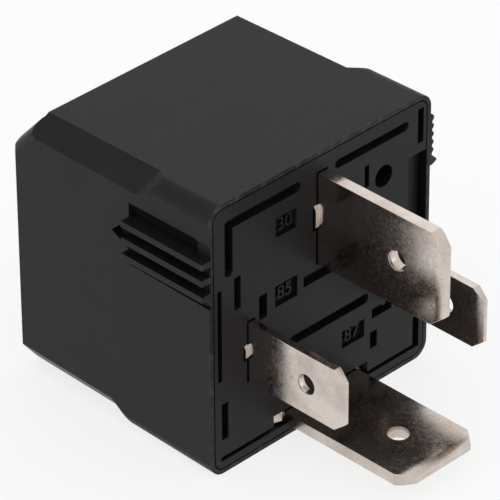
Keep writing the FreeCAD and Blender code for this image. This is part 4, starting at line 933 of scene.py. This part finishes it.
def braid_tree():
    """Strands that cross over and under each other round a route, with a round heart inside."""
    tree, given = new_tree("tubular_braid", braid_radius=BRAID_RADIUS, strand_radius=0.09 * MM, lay=5.5 * MM,
                           strands=20, bend=2.2 * MM, points_along=230, sides=5)
    curve = add_node(tree, "GeometryNodeMeshToCurve", {"Mesh": given["Geometry"]})
    bent = add_node(tree, "GeometryNodeFilletCurve",
                    {"Curve": curve, "Count": 10, "Radius": given["bend"]}, mode="POLY")
    route = add_node(tree, "GeometryNodeResampleCurve", {"Curve": bent, "Count": given["points_along"]})
    copies = add_node(tree, "GeometryNodeDuplicateElements",
                      {"Geometry": route, "Amount": given["strands"]}, domain="SPLINE")
    index = copies.outputs["Duplicate Index"]
    # Odd and even strands turn opposite ways, and each pair starts one place further round.
    family = add_node(tree, "ShaderNodeMath", {0: index, 1: 2.0}, operation="MODULO")
    doubled = add_node(tree, "ShaderNodeMath", {0: family, 1: 2.0}, operation="MULTIPLY")
    turning = add_node(tree, "ShaderNodeMath", {0: doubled, 1: 1.0}, operation="SUBTRACT")
    pair = add_node(tree, "ShaderNodeMath", {0: index, 1: family}, operation="SUBTRACT")
    share = add_node(tree, "ShaderNodeMath", {0: pair, 1: given["strands"]}, operation="DIVIDE")
    first = add_node(tree, "ShaderNodeMath", {0: share, 1: FULL_TURN}, operation="MULTIPLY")
    along = add_node(tree, "GeometryNodeSplineParameter").outputs["Length"]
    lays = add_node(tree, "ShaderNodeMath", {0: along, 1: given["lay"]}, operation="DIVIDE")
    swing = add_node(tree, "ShaderNodeMath", {0: lays, 1: FULL_TURN}, operation="MULTIPLY")
    swung = add_node(tree, "ShaderNodeMath", {0: swing, 1: turning}, operation="MULTIPLY")
    angle = add_node(tree, "ShaderNodeMath", {0: first, 1: swung}, operation="ADD")
    # A strand rises and dips once for each strand of the other family that it meets in a turn.
    crossings = add_node(tree, "ShaderNodeMath", {0: given["strands"], 1: 2.0}, operation="DIVIDE")
    phase = add_node(tree, "ShaderNodeMath", {0: swing, 1: crossings}, operation="MULTIPLY")
    weave = add_node(tree, "ShaderNodeMath", {0: phase}, operation="COSINE")
    over_under = add_node(tree, "ShaderNodeMath", {0: weave, 1: turning}, operation="MULTIPLY")
    rise = add_node(tree, "ShaderNodeMath", {0: given["strand_radius"], 1: STRAND_RISE}, operation="MULTIPLY")
    ride_up = add_node(tree, "ShaderNodeMath", {0: over_under, 1: rise}, operation="MULTIPLY")
    inset = add_node(tree, "ShaderNodeMath", {0: given["strand_radius"], 1: STRAND_INSET},
                     operation="MULTIPLY")
    middle = add_node(tree, "ShaderNodeMath", {0: given["braid_radius"], 1: inset}, operation="SUBTRACT")
    radius = add_node(tree, "ShaderNodeMath", {0: middle, 1: ride_up}, operation="ADD")
    # The angle and the radius give each point its place round the route.
    normal = add_node(tree, "GeometryNodeInputNormal").outputs[0]
    tangent = add_node(tree, "GeometryNodeInputTangent").outputs[0]
    side = add_node(tree, "ShaderNodeVectorMath", {0: tangent, 1: normal}, operation="CROSS_PRODUCT")
    cosine = add_node(tree, "ShaderNodeMath", {0: angle}, operation="COSINE")
    sine = add_node(tree, "ShaderNodeMath", {0: angle}, operation="SINE")
    out_by = add_node(tree, "ShaderNodeMath", {0: radius, 1: cosine}, operation="MULTIPLY")
    over_by = add_node(tree, "ShaderNodeMath", {0: radius, 1: sine}, operation="MULTIPLY")
    out = add_node(tree, "ShaderNodeVectorMath", {0: normal, 3: out_by}, operation="SCALE")
    over = add_node(tree, "ShaderNodeVectorMath", {0: side, 3: over_by}, operation="SCALE")
    offset = add_node(tree, "ShaderNodeVectorMath", {0: out, 1: over}, operation="ADD")
    woven = add_node(tree, "GeometryNodeSetPosition", {"Geometry": copies, "Offset": offset})
    strands = round_section(tree, woven, given["strand_radius"], given["sides"])
    heart_inset = add_node(tree, "ShaderNodeMath", {0: given["strand_radius"], 1: HEART_INSET},
                           operation="MULTIPLY")
    heart_radius = add_node(tree, "ShaderNodeMath", {0: given["braid_radius"], 1: heart_inset},
                            operation="SUBTRACT")
    heart = round_section(tree, route, heart_radius, HEART_SIDES)
    both = add_node(tree, "GeometryNodeJoinGeometry", {0: strands})
    tree.links.new(heart.outputs[0], both.inputs[0])
    close_tree(tree, given, both)
    return tree


braid_mesh = grow(braid_tree(), polyline(BRAID_ROUTE), bare_copper)
braid = add_piece("copper_braid", braid_mesh, bare_copper, None, "copper_wire", "shunt_braid")
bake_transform(braid)
